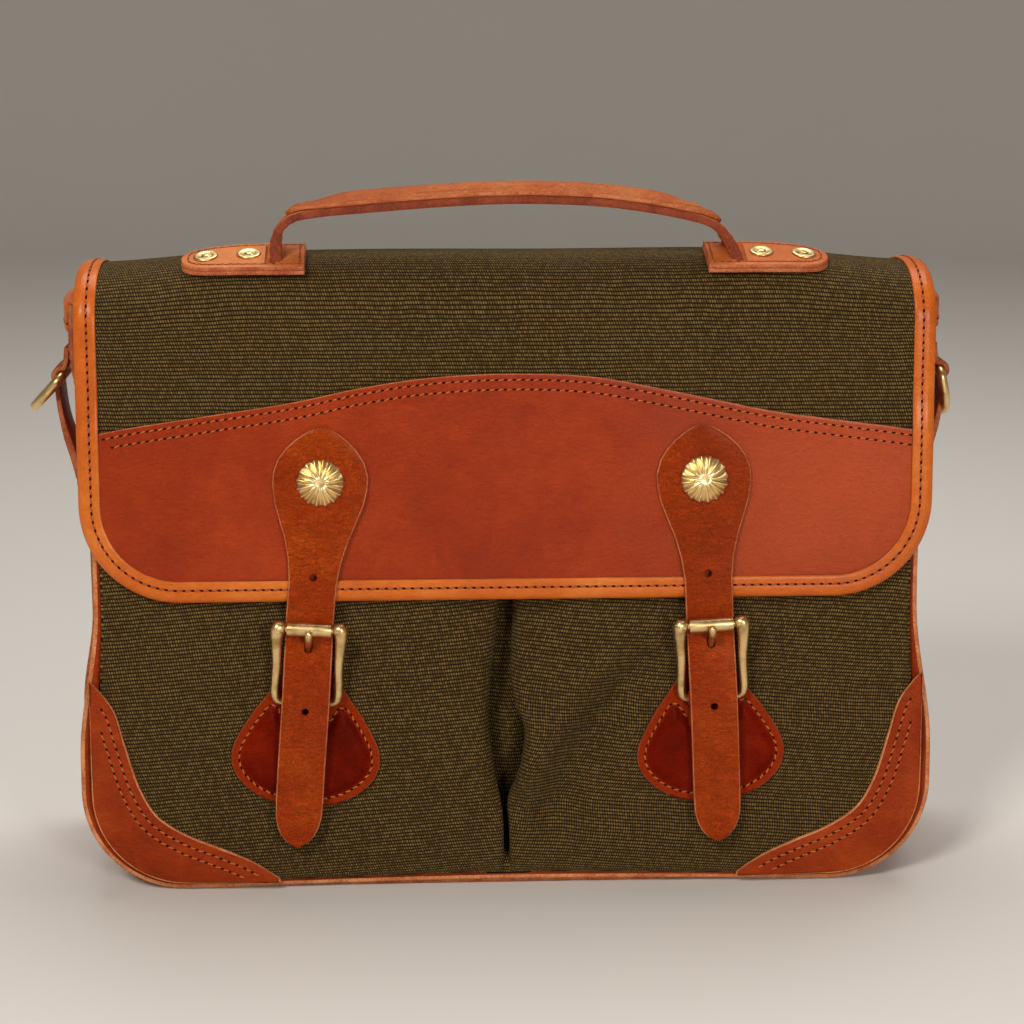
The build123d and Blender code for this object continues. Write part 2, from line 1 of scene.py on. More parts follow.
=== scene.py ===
import json
import math
import bpy
import numpy as np
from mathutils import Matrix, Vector


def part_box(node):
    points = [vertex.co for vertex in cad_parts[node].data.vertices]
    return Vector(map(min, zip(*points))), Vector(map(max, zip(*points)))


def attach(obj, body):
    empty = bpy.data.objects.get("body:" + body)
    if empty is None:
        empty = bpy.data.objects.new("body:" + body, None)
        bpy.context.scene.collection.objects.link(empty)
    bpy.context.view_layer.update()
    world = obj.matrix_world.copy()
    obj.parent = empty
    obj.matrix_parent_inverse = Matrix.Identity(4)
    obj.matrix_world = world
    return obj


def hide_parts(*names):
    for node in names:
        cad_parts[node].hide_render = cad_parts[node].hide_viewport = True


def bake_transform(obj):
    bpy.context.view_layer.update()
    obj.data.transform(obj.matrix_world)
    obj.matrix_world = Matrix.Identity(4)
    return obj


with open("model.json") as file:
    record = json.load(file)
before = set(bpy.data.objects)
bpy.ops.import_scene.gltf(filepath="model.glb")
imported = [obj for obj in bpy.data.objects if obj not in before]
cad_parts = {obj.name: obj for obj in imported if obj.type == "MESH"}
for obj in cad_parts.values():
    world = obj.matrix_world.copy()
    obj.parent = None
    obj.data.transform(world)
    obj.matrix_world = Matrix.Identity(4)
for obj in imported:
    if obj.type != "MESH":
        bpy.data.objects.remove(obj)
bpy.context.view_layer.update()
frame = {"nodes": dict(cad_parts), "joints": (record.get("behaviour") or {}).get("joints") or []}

# All shapes below are drawn in millimetres, in charts that lie on the bag's own surfaces.
MM = 0.001
LEAN = math.radians(3.5)
FLAP_LOW, SHOULDER_LOW = 135.0, 262.0
SHOULDER_R, CROWN_R, BACK_R = 21.3, 56.3, 116.3
SLOPE = math.radians(17.0)
STRAP_X, CONCHO_V, TILT = 85.3, 189.5, math.radians(3.05)
FRONT_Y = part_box("pocket_front_right")[0].y / MM - 8.5 * math.sin(LEAN)
BACK_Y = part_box("back_panel")[0].y / MM
MAIN_FRONT_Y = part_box("main_gusset")[0].y / MM
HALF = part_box("main_gusset")[1].x / MM
HINGE = [j for j in frame["joints"] if j["name"] == "flap_hinge"][0]["pos_m"]
ROCK = [j for j in frame["joints"] if j["name"] == "handle_rock"][0]["pos_m"]
SIDES = (("left", -1), ("right", 1))


# ---------------------------------------------------------------- charts
def unit(a):
    return a / np.maximum(np.linalg.norm(a, axis=-1, keepdims=True), 1e-9)


def on_front(u, n, v):
    """u across, v up the leaning front, n in front of the pocket fronts."""
    u, n, v = np.broadcast_arrays(u, n, v)
    y = FRONT_Y + v * math.sin(LEAN) - n * math.cos(LEAN)
    return np.stack([u, y, v * math.cos(LEAN) + n * math.sin(LEAN)], -1).astype(float)


def upright(u, y, z):
    return np.stack(np.broadcast_arrays(u, y, z), -1).astype(float)


DRIFT = {-1: ([22, 60, 90, 130, 165, 190], [-2.3, -1.6, -0.7, -0.3, 1.3, 1.9]),
         1: ([22, 60, 90, 130, 165, 190], [1.3, 1.5, 1.6, 1.6, 1.8, 1.8])}


def strap_chart(side, drift=True):
    """x off the strap's middle, n in front of the pockets, v up; the strap hangs a little outwards."""
    def chart(x, n, v):
        x, n, v = np.broadcast_arrays(x, n, v)
        w = v - CONCHO_V
        if drift:
            x = x + side * np.interp(v, *DRIFT[side])
        across = STRAP_X + x * math.cos(TILT) - w * math.sin(TILT)
        up = CONCHO_V + x * math.sin(TILT) + w * math.cos(TILT)
        return on_front(side * across, n, up)
    return chart


def make_profile():
    """Side view of the flap's inner surface by arc length: up the front, over the top, down the back."""
    first = on_front(0, -SHOULDER_R, SHOULDER_LOW)[1:]
    third_y = first[0] + (CROWN_R - SHOULDER_R) * math.sin(SLOPE)
    back = math.asin((HINGE[1] / MM - third_y) / (BACK_R + 3.0))
    turns = [
        (SHOULDER_LOW - FLAP_LOW, 0.0),
        (SHOULDER_R * (math.pi / 2 - LEAN - SLOPE), math.pi / 2 - LEAN - SLOPE),
        (CROWN_R * SLOPE, SLOPE),
        (BACK_R * back, back),
        (1.6 * (math.pi / 2 - back), math.pi / 2 - back),
        (262.0, 0.0),
    ]
    step = 0.1
    angle, angles = LEAN, []
    for length, turn in turns:
        count = max(1, round(length / step))
        angles += list(angle + turn * (np.arange(count) + 0.5) / count)
        angle += turn
    angles = np.array(angles)
    start = on_front(0, 0, FLAP_LOW)[1:]
    y = start[0] + np.concatenate([[0], np.cumsum(np.sin(angles) * step)])
    z = start[1] + np.concatenate([[0], np.cumsum(np.cos(angles) * step)])
    s = np.arange(len(y)) * step
    edges = np.cumsum([0] + [t[0] for t in turns])
    return s, y, z, np.concatenate([angles, angles[-1:]]), edges


PS, PY, PZ, PA, RUN_ENDS = make_profile()
S_PLATE, S_HINGE, S_DOWN = RUN_ENDS[2], RUN_ENDS[4], RUN_ENDS[5]


def smooth(x, a, b):
    t = np.clip((x - a) / (b - a), 0, 1)
    return t * t * (3 - 2 * t)


def drape(u, s):
    """How far the flap's cloth sits off its neat shape."""
    wave = 0.35 * np.sin(u / 41 + 0.8) * np.sin(s / 33 + 1.1) + 0.22 * np.sin(u / 23 + s / 47)
    free = smooth(s, 85, 120) * (1 - smooth(s, S_HINGE - 30, S_HINGE - 8))
    return wave * free


def droop(u, s):
    """How far the top of the bag sinks towards its ends."""
    end = smooth(np.abs(u), 105, 190)
    return -5.4 * end**1.2 * smooth(s, 100, 150) * (1 - smooth(s, S_DOWN, S_DOWN + 90))


def over(u, n, s):
    """u across, s along the flap from its lower edge, n outside the flap's inner surface."""
    u, n, s = np.broadcast_arrays(u, n, s)
    n = n + drape(u, s)
    y, z, a = np.interp(s, PS, PY), np.interp(s, PS, PZ), np.interp(s, PS, PA)
    return np.stack([u, y - n * np.cos(a), z + n * np.sin(a) + droop(u, s)], -1).astype(float)


def spline(points, count=200):
    """Smooth curve through points, evenly spaced (centripetal Catmull-Rom)."""
    p = np.array(points, float)
    q = np.concatenate([2 * p[:1] - p[1:2], p, 2 * p[-1:] - p[-2:-1]])
    out = []
    for i in range(1, len(q) - 2):
        p0, p1, p2, p3 = q[i - 1:i + 3]
        t0 = 0.0
        t1 = t0 + np.linalg.norm(p1 - p0) ** 0.5
        t2 = t1 + np.linalg.norm(p2 - p1) ** 0.5
        t3 = t2 + np.linalg.norm(p3 - p2) ** 0.5
        for t in np.linspace(t1, t2, 24, endpoint=False):
            a1 = (t1 - t) / (t1 - t0) * p0 + (t - t0) / (t1 - t0) * p1
            a2 = (t2 - t) / (t2 - t1) * p1 + (t - t1) / (t2 - t1) * p2
            a3 = (t3 - t) / (t3 - t2) * p2 + (t - t2) / (t3 - t2) * p3
            b1 = (t2 - t) / (t2 - t0) * a1 + (t - t0) / (t2 - t0) * a2
            b2 = (t3 - t) / (t3 - t1) * a2 + (t - t1) / (t3 - t1) * a3
            out.append((t2 - t) / (t2 - t1) * b1 + (t - t1) / (t2 - t1) * b2)
    out.append(q[-2])
    return resample(np.array(out), count)


def lengths(p):
    """Distance of each point along a polyline."""
    return np.concatenate([[0], np.cumsum(np.linalg.norm(np.diff(p, axis=0), axis=1))])


def left_of(p):
    """Unit directions to the left of a path in the plane."""
    t = unit(np.gradient(p, axis=0))
    return np.stack([-t[:, 1], t[:, 0]], -1)


def resample(p, count):
    d = lengths(p)
    t = np.linspace(0, d[-1], count)
    return np.stack([np.interp(t, d, p[:, k]) for k in range(p.shape[1])], -1)


def arc(cx, cy, r, a, b, count=16):
    t = np.radians(np.linspace(a, b, count))
    return [(cx + r * math.cos(x), cy + r * math.sin(x)) for x in t]


def pan_path(half, corner, low, top, count=400):
    """Outline of a bag panel from its top left corner down, along the bottom and up the right."""
    path = [(-half, top), *arc(-half + corner, low + corner, corner, 180, 270)]
    path += [*arc(half - corner, low + corner, corner, 270, 360), (half, top)]
    return resample(np.array(path), count)


# ---------------------------------------------------------------- meshes
def mesh_object(name, verts, faces, mats, index=None, uv=None):
    mesh = bpy.data.meshes.new(name)
    mesh.from_pydata((np.asarray(verts) * MM).tolist(), [], faces)
    for m in mats:
        mesh.materials.append(m)
    if index is not None:
        mesh.polygons.foreach_set("material_index", np.asarray(index, np.int32))
    mesh.polygons.foreach_set("use_smooth", [True] * len(mesh.polygons))
    if uv is not None:
        layer = mesh.uv_layers.new(name="UVMap")
        loops = np.empty(len(mesh.loops), np.int32)
        mesh.loops.foreach_get("vertex_index", loops)
        layer.data.foreach_set("uv", np.asarray(uv, np.float32)[loops].ravel())
    mesh.validate()
    mesh.update()
    obj = bpy.data.objects.new(name, mesh)
    bpy.context.scene.collection.objects.link(obj)
    return obj


def outward(ring):
    """Unit 2-D directions that point out of a closed ring of points."""
    nxt, prv = np.roll(ring, -1, 0), np.roll(ring, 1, 0)
    area = 0.5 * np.sum(ring[:, 0] * nxt[:, 1] - nxt[:, 0] * ring[:, 1])
    e1, e2 = unit(ring - prv), unit(nxt - ring)
    t = unit(e1 + e2)
    d = np.stack([t[:, 1], -t[:, 0]], -1)
    return d if area > 0 else -d


def shell(name, chart, u, v, top, thick, mats, edge=0.5, wrap=False, uv=None):
    """Closed sheet with soft rounded edges from a grid of chart points.
    top is the outer surface's n. With wrap, rows are rings round a centre and only the last is an edge."""
    u, v = np.array(u, float), np.array(v, float)
    top = np.broadcast_to(top, u.shape).astype(float)
    thick = np.broadcast_to(thick, u.shape).astype(float)
    rows, cols = u.shape
    if wrap:
        loop = [(i, cols - 1) for i in range(rows)]
    else:
        loop = [(i, 0) for i in range(rows)] + [(rows - 1, j) for j in range(1, cols)]
        loop += [(i, cols - 1) for i in range(rows - 2, -1, -1)]
        loop += [(0, j) for j in range(cols - 2, 0, -1)]
    li, lj = np.array(loop).T
    ring = np.stack([u[li, lj], v[li, lj]], -1)
    out = outward(ring)
    uu, vv = u.copy(), v.copy()
    uu[li, lj] -= out[:, 0] * edge
    vv[li, lj] -= out[:, 1] * edge
    grid = np.arange(rows * cols).reshape(rows, cols)
    verts = [chart(uu, top, vv).reshape(-1, 3), chart(uu, top - thick, vv).reshape(-1, 3)]
    uvs = [np.stack([u, v], -1).reshape(-1, 2)] * 2 if uv is None else [uv.reshape(-1, 2)] * 2
    last = rows if wrap else rows - 1
    faces, index = [], []
    low = rows * cols
    for i in range(last):
        k = (i + 1) % rows
        for j in range(cols - 1):
            a, b, c, d = grid[i, j], grid[k, j], grid[k, j + 1], grid[i, j + 1]
            faces += [(a, b, c, d), (low + d, low + c, low + b, low + a)]
            index += [0, 0]
    if wrap:
        faces += [tuple(grid[::-1, 0]), tuple(low + grid[:, 0])]
        index += [0, 0]
    t_ring, k_ring = top[li, lj], thick[li, lj]
    r = np.minimum(edge, k_ring * 0.45)
    loops = [grid[li, lj]]
    base = 2 * low
    steps = [(q, True) for q in (30, 60, 90)] + [(q, False) for q in (90, 60, 30)]
    for q, upper in steps:
        a = math.radians(q)
        move, drop = edge * (math.sin(a) - 1), r * (1 - math.cos(a))
        n = t_ring - drop if upper else t_ring - k_ring + drop
        verts.append(chart(ring[:, 0] + out[:, 0] * move, n, ring[:, 1] + out[:, 1] * move))
        uvs.append(uvs[0][grid[li, lj]])
        loops.append(base + np.arange(len(loop)))
        base += len(loop)
    loops.append(low + grid[li, lj])
    for a, b in zip(loops, loops[1:]):
        for k in range(len(loop)):
            m = (k + 1) % len(loop)
            faces.append((a[m], a[k], b[k], b[m]))
            index.append(1 if len(mats) > 1 else 0)
    obj = mesh_object(name, np.concatenate(verts), faces, mats, index, np.concatenate(uvs))
    fix_normals(obj)
    return obj


def fix_normals(obj):
    import bmesh
    bm = bmesh.new()
    bm.from_mesh(obj.data)
    bmesh.ops.remove_doubles(bm, verts=bm.verts, dist=1e-6)
    bmesh.ops.recalc_face_normals(bm, faces=bm.faces)
    bm.to_mesh(obj.data)
    bm.free()


def band(name, chart, path, section, mats, index):
    """Solid swept along a path in a chart. section is [count, points, 2] of (distance inwards, n)."""
    path = np.asarray(path, float)
    section = np.broadcast_to(section, (len(path), *np.shape(section)[-2:]))
    points = path[:, None, :] + section[..., :1] * left_of(path)[:, None, :]
    verts = chart(points[..., 0], section[..., 1], points[..., 1]).reshape(-1, 3)
    count, m = section.shape[:2]
    ids = np.arange(count * m).reshape(count, m)
    faces, mat = [], []
    for i in range(count - 1):
        for j in range(m):
            w = (j + 1) % m
            faces.append((ids[i, j], ids[i + 1, j], ids[i + 1, w], ids[i, w]))
            mat.append(index[j])
    faces += [tuple(ids[0]), tuple(ids[-1, ::-1])]
    mat += [0, 0]
    uv = np.stack([np.broadcast_to(lengths(path)[:, None], (count, m)), section[..., 0]], -1)
    obj = mesh_object(name, verts, faces, mats, mat, uv.reshape(-1, 2))
    fix_normals(obj)
    return obj


def loft(name, rings, mats):
    """Closed solid through rings of points."""
    count, m = rings.shape[:2]
    ids = np.arange(count * m).reshape(count, m)
    faces = [(ids[i, j], ids[i + 1, j], ids[i + 1, (j + 1) % m], ids[i, (j + 1) % m])
             for i in range(count - 1) for j in range(m)]
    faces += [tuple(ids[0]), tuple(ids[-1, ::-1])]
    obj = mesh_object(name, rings.reshape(-1, 3), faces, mats)
    fix_normals(obj)
    return obj


def show_cut_sides(obj, steep):
    """Gives the second material to the faces that look along y."""
    index = [int(abs(p.normal.y) > steep) for p in obj.data.polygons]
    obj.data.polygons.foreach_set("material_index", np.array(index, np.int32))


def tube(name, points, radii, mats, around):
    """Round rod through points with its own radius at each, and round ends."""
    p = np.asarray(points, float)
    r = np.asarray(radii, float)
    t0, t1 = unit(p[0] - p[1]), unit(p[-1] - p[-2])
    q = np.radians([80, 55, 28])
    p = np.concatenate([p[:1] + t0 * r[0] * np.sin(q)[:, None], p,
                        (p[-1:] + t1 * r[-1] * np.sin(q)[:, None])[::-1]])
    r = np.concatenate([r[0] * np.cos(q), r, (r[-1] * np.cos(q))[::-1]])
    t = unit(np.gradient(p, axis=0))
    normal = unit(np.cross(t[0], [0.3, 0.2, 0.9]))
    rings = []
    for k in range(len(p)):
        normal = unit(normal - t[k] * (normal @ t[k]))
        side = np.cross(t[k], normal)
        a = np.linspace(0, 2 * math.pi, around, endpoint=False)[:, None]
        rings.append(p[k] + r[k] * (np.cos(a) * normal + np.sin(a) * side))
    return loft(name, np.array(rings), mats)


def join(name, objs):
    """One object from several, materials kept."""
    bpy.ops.object.select_all(action="DESELECT")
    for o in objs:
        o.select_set(True)
    bpy.context.view_layer.objects.active = objs[0]
    bpy.ops.object.join()
    objs[0].name = name
    objs[0].data.name = name
    return objs[0]


def cut(obj, cutters):
    """Takes cutters out of obj and applies the result."""
    for c in cutters:
        mod = obj.modifiers.new("cut", "BOOLEAN")
        mod.operation, mod.object, mod.solver = "DIFFERENCE", c, "EXACT"
        dg = bpy.context.evaluated_depsgraph_get()
        mesh = bpy.data.meshes.new_from_object(obj.evaluated_get(dg))
        obj.modifiers.clear()
        obj.data = mesh
        bpy.data.objects.remove(c)
    return obj


CAPSULE_X = (-1.0, -0.82, -0.4, 0.4, 0.82, 1.0)
CAPSULE_R = (0.12, 0.6, 1.0, 1.0, 0.6, 0.12)


def seam(name, chart, path, n, pitch=3.9, length=2.8, width=0.8, height=0.42, slant=14.0,
         hole=0.72, mats=None, shift=0.0):
    """Row of stitches: slanted threads with a needle hole between them.
    path is a polyline in the chart; n is its surface, a number or a function of u and v."""
    path = np.asarray(path, float)
    d = lengths(path)
    count = max(1, int(round(d[-1] / pitch)))
    step = d[-1] / count
    verts, faces, index = [], [], []
    base = 0
    ring = np.radians(np.arange(0, 360, 60))
    disc = np.radians(np.arange(0, 360, 40))
    level = n if callable(n) else (lambda u, v: n + 0 * u)
    rng = np.random.default_rng(len(name) * 7 + count)
    for k in range(count):
        for part, at in (("thread", (k + 0.5) * step + shift), ("hole", k * step + shift)):
            if not 0 <= at <= d[-1]:
                continue
            c = np.array([np.interp(at, d, path[:, 0]), np.interp(at, d, path[:, 1])])
            c2 = np.array([np.interp(at + 0.3, d, path[:, 0]), np.interp(at + 0.3, d, path[:, 1])])
            c1 = np.array([np.interp(at - 0.3, d, path[:, 0]), np.interp(at - 0.3, d, path[:, 1])])
            t = unit(c2 - c1)
            side = np.array([-t[1], t[0]])
            if part == "thread":
                a = math.radians(slant + rng.uniform(-4, 4))
                t, side = t * math.cos(a) + side * math.sin(a), side * math.cos(a) - t * math.sin(a)
                half = length / 2 * rng.uniform(0.94, 1.05)
                for x, r in zip(CAPSULE_X, CAPSULE_R):
                    q = c + t * x * half + side * (np.sin(ring) * width / 2 * r)[:, None]
                    lift = np.cos(ring) * height * r + (0.16 if abs(x) < 0.9 else -0.22)
                    verts.append(chart(q[:, 0], level(q[:, 0], q[:, 1]) + lift, q[:, 1]))
                for i in range(5):
                    for j in range(6):
                        w = (j + 1) % 6
                        faces.append((base + 6 * i + j, base + 6 * i + w,
                                      base + 6 * i + 6 + w, base + 6 * i + 6 + j))
                faces += [tuple(base + j for j in range(6)), tuple(base + 35 - j for j in range(6))]
                index += [0] * 32
                base += 36
            elif hole:
                # Each needle hole is a dark disc set on the surface; its dark colour is painted shade inside
                # the hole.
                q = c + hole * (1.25 * np.cos(disc)[:, None] * t + 0.7 * np.sin(disc)[:, None] * side)
                verts.append(chart(q[:, 0], level(q[:, 0], q[:, 1]) + 0.05, q[:, 1]))
                verts.append(chart(q[:, 0], level(q[:, 0], q[:, 1]) - 0.5, q[:, 1]))
                faces += [tuple(base + j for j in range(9)), tuple(base + 17 - j for j in range(9))]
                faces += [(base + j, base + 9 + j, base + 9 + (j + 1) % 9, base + (j + 1) % 9)
                          for j in range(9)]
                index += [1] * 11
                base += 18
    obj = mesh_object(name, np.concatenate(verts), faces, mats or [THREAD, HOLE_SHADE], index)
    fix_normals(obj)
    return obj


def put(obj, body, slot, *nodes):
    """Rides the piece on its body and hides the CAD nodes it stands for; slot is not used."""
    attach(obj, body)
    if nodes:
        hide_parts(*nodes)
    return obj


# ---------------------------------------------------------------- materials
class Nodes:
    """Short way to build a material's nodes."""

    def __init__(self, name):
        self.mat = bpy.data.materials.new(name)
        self.mat.use_nodes = True
        self.tree = self.mat.node_tree
        self.bsdf = self.tree.nodes["Principled BSDF"]

    def feed(self, socket, value):
        if isinstance(value, bpy.types.NodeSocket):
            self.tree.links.new(value, socket)
        elif isinstance(value, tuple) and len(value) == 3 and socket.type == "RGBA":
            socket.default_value = (*value, 1)
        else:
            socket.default_value = value

    def add(self, kind, out=0, props=(), **inputs):
        node = self.tree.nodes.new("ShaderNode" + kind)
        for key, value in dict(props).items():
            setattr(node, key, value)
        for key, value in inputs.items():
            self.feed(node.inputs[int(key[1:]) if key[1:].isdigit() else key], value)
        return node.outputs[out]

    def math(self, op, a, b=0.0, c=0.0):
        return self.add("Math", props={"operation": op}, _0=a, _1=b, _2=c)

    def ramp(self, value, stops):
        node = self.tree.nodes.new("ShaderNodeValToRGB")
        self.tree.links.new(value, node.inputs[0])
        while len(node.color_ramp.elements) < len(stops):
            node.color_ramp.elements.new(0.5)
        for e, (at, colour) in zip(node.color_ramp.elements, stops):
            e.position = at
            e.color = (*colour, 1) if isinstance(colour, tuple) else (colour, colour, colour, 1)
        return node.outputs[0]

    def mix(self, t, a, b, mode="MIX"):
        return self.add("Mix", out=2, props={"data_type": "RGBA", "blend_type": mode}, _0=t, _6=a, _7=b)

    def noise(self, vector, scale, detail=3.0, rough=0.5, warp=0.0):
        return self.add("TexNoise", Vector=vector, Scale=scale, Detail=detail, Roughness=rough,
                        Distortion=warp)

    def between(self, value, a, b, lo=0.0, hi=1.0):
        node = self.tree.nodes.new("ShaderNodeMapRange")
        node.interpolation_type = "SMOOTHSTEP"
        for k, x in enumerate((value, a, b, lo, hi)):
            self.feed(node.inputs[k], x)
        return node.outputs[0]

    def stretch(self, vector, scale, turn=(0, 0, 0)):
        return self.add("Mapping", Vector=vector, Scale=scale, Rotation=turn)

    def bump(self, height, distance, strength=1.0, normal=None):
        extra = {"Normal": normal} if normal is not None else {}
        return self.add("Bump", Height=height, Distance=distance, Strength=strength, **extra)

    def finish(self, **inputs):
        for key, value in inputs.items():
            self.feed(self.bsdf.inputs[key.replace("_", " ")], value)
        return self.mat


def canvas_material(name, hollow_shade, thread, light):
    """Coarse ribbed canvas: rows 1.73 mm apart of threads 1.1 mm apart, each row offset by half."""
    n = Nodes(name)
    uv = n.add("UVMap", props={"uv_map": "UVMap"})
    at = n.add("TexCoord", out=3)
    wob = n.noise(at, 60.0, 2.0)
    split = n.tree.nodes.new("ShaderNodeSeparateXYZ")
    n.tree.links.new(uv, split.inputs[0])
    u, v = split.outputs[0], split.outputs[1]
    jitter = n.math("MULTIPLY", n.math("SUBTRACT", wob, 0.5), 1.2)
    row = n.math("DIVIDE", n.math("ADD", v, jitter), 1.73)
    cell_v = n.math("FLOOR", row)
    frac_v = n.math("FRACT", row)
    col = n.math("ADD", n.math("DIVIDE", u, 1.1), n.math("MULTIPLY", cell_v, 0.5))
    slanted = n.math("ADD", col, n.math("MULTIPLY", frac_v, 0.35))
    cell_u = n.math("FLOOR", slanted)
    frac_u = n.math("FRACT", slanted)
    rib = n.math("SINE", n.math("MULTIPLY", frac_v, math.pi))
    bead = n.math("SINE", n.math("MULTIPLY", frac_u, math.pi))
    height = n.math("MULTIPLY", n.math("POWER", rib, 0.8), n.math("MULTIPLY_ADD", bead, 0.78, 0.22))
    cell = n.add("CombineXYZ", _0=cell_u, _1=cell_v)
    chance = n.add("TexWhiteNoise", props={"noise_dimensions": "2D"}, Vector=cell)
    yarn = n.noise(n.stretch(uv, (0.09, 0.9, 1.0)), 1.0, 2.0)
    cover = n.between(height, 0.3, 0.78)
    tone = n.math("ADD", n.math("MULTIPLY", chance, 0.5), n.math("MULTIPLY", yarn, 0.5))
    yarn_colour = n.mix(n.between(tone, 0.28, 0.8), thread, light)
    big = n.between(n.noise(at, 11.0, 3.0, 0.55), 0.3, 0.7)
    worn = n.mix(big, yarn_colour, n.mix(0.22, yarn_colour, light))
    # The hollows between ribs and beads take the near-black colour: painted shade in the weave.
    colour = n.mix(cover, hollow_shade, worn)
    fuzz = n.noise(at, 2600.0, 2.0)
    surface = n.math("ADD", height, n.math("MULTIPLY", fuzz, 0.12))
    return n.finish(Base_Color=colour, Roughness=0.85, Specular_IOR_Level=0.08,
                    Sheen_Weight=0.06, Sheen_Roughness=0.5, Sheen_Tint=(0.7, 0.55, 0.25, 1.0),
                    Normal=n.bump(surface, 0.00042, 0.9))


def leather_material(name, dark, mid, light, rough=0.4, coat=0.12, grain=0.00010, creases=0.5, wear=0.6,
                     shine=0.18, rim=None, painted_sheen=None):
    """Waxed leather: mottled dye, fine pebble grain, soft creases, gloss that varies."""
    n = Nodes(name)
    at = n.add("TexCoord", out=3)
    big = n.noise(at, 17.0, 4.0, 0.55)
    patch = n.noise(at, 75.0, 4.0, 0.6, 0.6)
    blend = n.math("ADD", n.math("MULTIPLY", big, 0.62), n.math("MULTIPLY", patch, 0.38))
    colour = n.ramp(blend, [(0.3, dark), (0.5, mid), (0.7, light)])
    lines = n.noise(n.stretch(at, (1.0, 1.0, 2.2), (0.3, 0.5, 0.7)), 260.0, 5.0, 0.62, 1.6)
    vein = n.math("SUBTRACT", 1.0, n.math("MULTIPLY", n.math("ABSOLUTE", n.math("SUBTRACT", lines, 0.5)),
                                          9.0))
    vein = n.between(vein, 0.25, 1.0)
    worn = n.mix(n.math("MULTIPLY", vein, wear * 0.35), colour, light)
    pebble = n.add("TexVoronoi", props={"feature": "DISTANCE_TO_EDGE"}, Vector=at, Scale=1250.0)
    pebble = n.between(pebble, 0.0, 0.32)
    pore = n.between(n.noise(at, 1700.0, 2.0), 0.55, 0.75)
    dyed = n.mix(n.math("MULTIPLY", pore, 0.2), worn, dark)
    # Painted sheen: a lighter, more orange spot round the given centre stands in for a broad highlight.
    if painted_sheen:
        x, z, across, up = painted_sheen
        split = n.tree.nodes.new("ShaderNodeSeparateXYZ")
        n.tree.links.new(at, split.inputs[0])
        dx = n.math("DIVIDE", n.math("SUBTRACT", split.outputs[0], x), across)
        dz = n.math("DIVIDE", n.math("SUBTRACT", split.outputs[2], z), up)
        far = n.math("SQRT", n.math("ADD", n.math("MULTIPLY", dx, dx), n.math("MULTIPLY", dz, dz)))
        far = n.math("ADD", far, n.math("MULTIPLY", n.math("SUBTRACT", patch, 0.5), 0.9))
        dyed = n.mix(n.between(far, 1.1, 0.1), dyed, n.mix(0.24, dyed, (0.78, 0.16, 0.04)))
    if rim:
        raised = n.add("Attribute", out=2, props={"attribute_name": "raised"})
        dyed = n.mix(raised, n.mix(patch, rim, light), dyed)
    soft = n.noise(at, 38.0, 3.0)
    h1 = n.bump(soft, 0.0012, 0.5)
    h2 = n.bump(vein, 0.00018 * creases, 1.0, h1)
    h3 = n.bump(pebble, grain, 1.0, h2)
    gloss = n.math("MULTIPLY_ADD", n.noise(at, 30.0, 4.0, 0.6), 0.26, rough - 0.13)
    return n.finish(Base_Color=dyed, Roughness=gloss, Specular_IOR_Level=shine,
                    Specular_Tint=(1.0, 0.6, 0.32, 1.0), Coat_Weight=coat, Coat_Tint=(1.0, 0.72, 0.5, 1.0),
                    Coat_Roughness=0.3, Normal=h3)


def edge_material(name, dark, light, shine=0.3):
    """Raw cut edge of leather: layered, fibrous, dull."""
    n = Nodes(name)
    at = n.add("TexCoord", out=3)
    fibre = n.noise(n.stretch(at, (1.0, 2.0, 1.0)), 900.0, 5.0, 0.7)
    slow = n.noise(at, 120.0, 3.0)
    both = n.math("ADD", n.math("MULTIPLY", fibre, 0.6), n.math("MULTIPLY", slow, 0.4))
    colour = n.mix(n.between(both, 0.35, 0.65), dark, light)
    return n.finish(Base_Color=colour, Roughness=0.72, Specular_IOR_Level=shine,
                    Normal=n.bump(fibre, 0.0003, 0.8))


def brass_material(name, base, deep, rough=0.27):
    """Satin brass: brushed, with a brown patina in patches."""
    n = Nodes(name)
    at = n.add("TexCoord", out=3)
    brush = n.noise(n.stretch(at, (1.0, 1.0, 0.12)), 2600.0, 3.0, 0.7)
    stain = n.noise(at, 150.0, 4.0, 0.6)
    colour = n.mix(n.between(stain, 0.42, 0.75), base, deep)
    shine = n.math("MULTIPLY_ADD", n.noise(at, 420.0, 3.0), 0.16, rough - 0.07)
    return n.finish(Base_Color=colour, Metallic=1.0, Roughness=shine,
                    Normal=n.bump(brush, 0.00003, 0.5))


def thread_material(name, dark, light):
    n = Nodes(name)
    at = n.add("TexCoord", out=3)
    twist = n.noise(n.stretch(at, (1.0, 1.0, 1.0), (0.5, 0.4, 0.8)), 1500.0, 2.0)
    return n.finish(Base_Color=n.mix(n.between(twist, 0.3, 0.7), dark, light), Roughness=0.6,
                    Normal=n.bump(twist, 0.0002, 0.7))


def lining_material(name, dark, light):
    n = Nodes(name)
    at = n.add("TexCoord", out=3)
    across = n.noise(n.stretch(at, (1.0, 1.0, 0.06)), 2200.0, 2.0)
    along = n.noise(n.stretch(at, (0.06, 1.0, 1.0)), 2200.0, 2.0)
    weave = n.between(n.math("MAXIMUM", across, along), 0.42, 0.68)
    return n.finish(Base_Color=n.mix(weave, dark, light), Roughness=0.85,
                    Normal=n.bump(weave, 0.0002, 0.6))
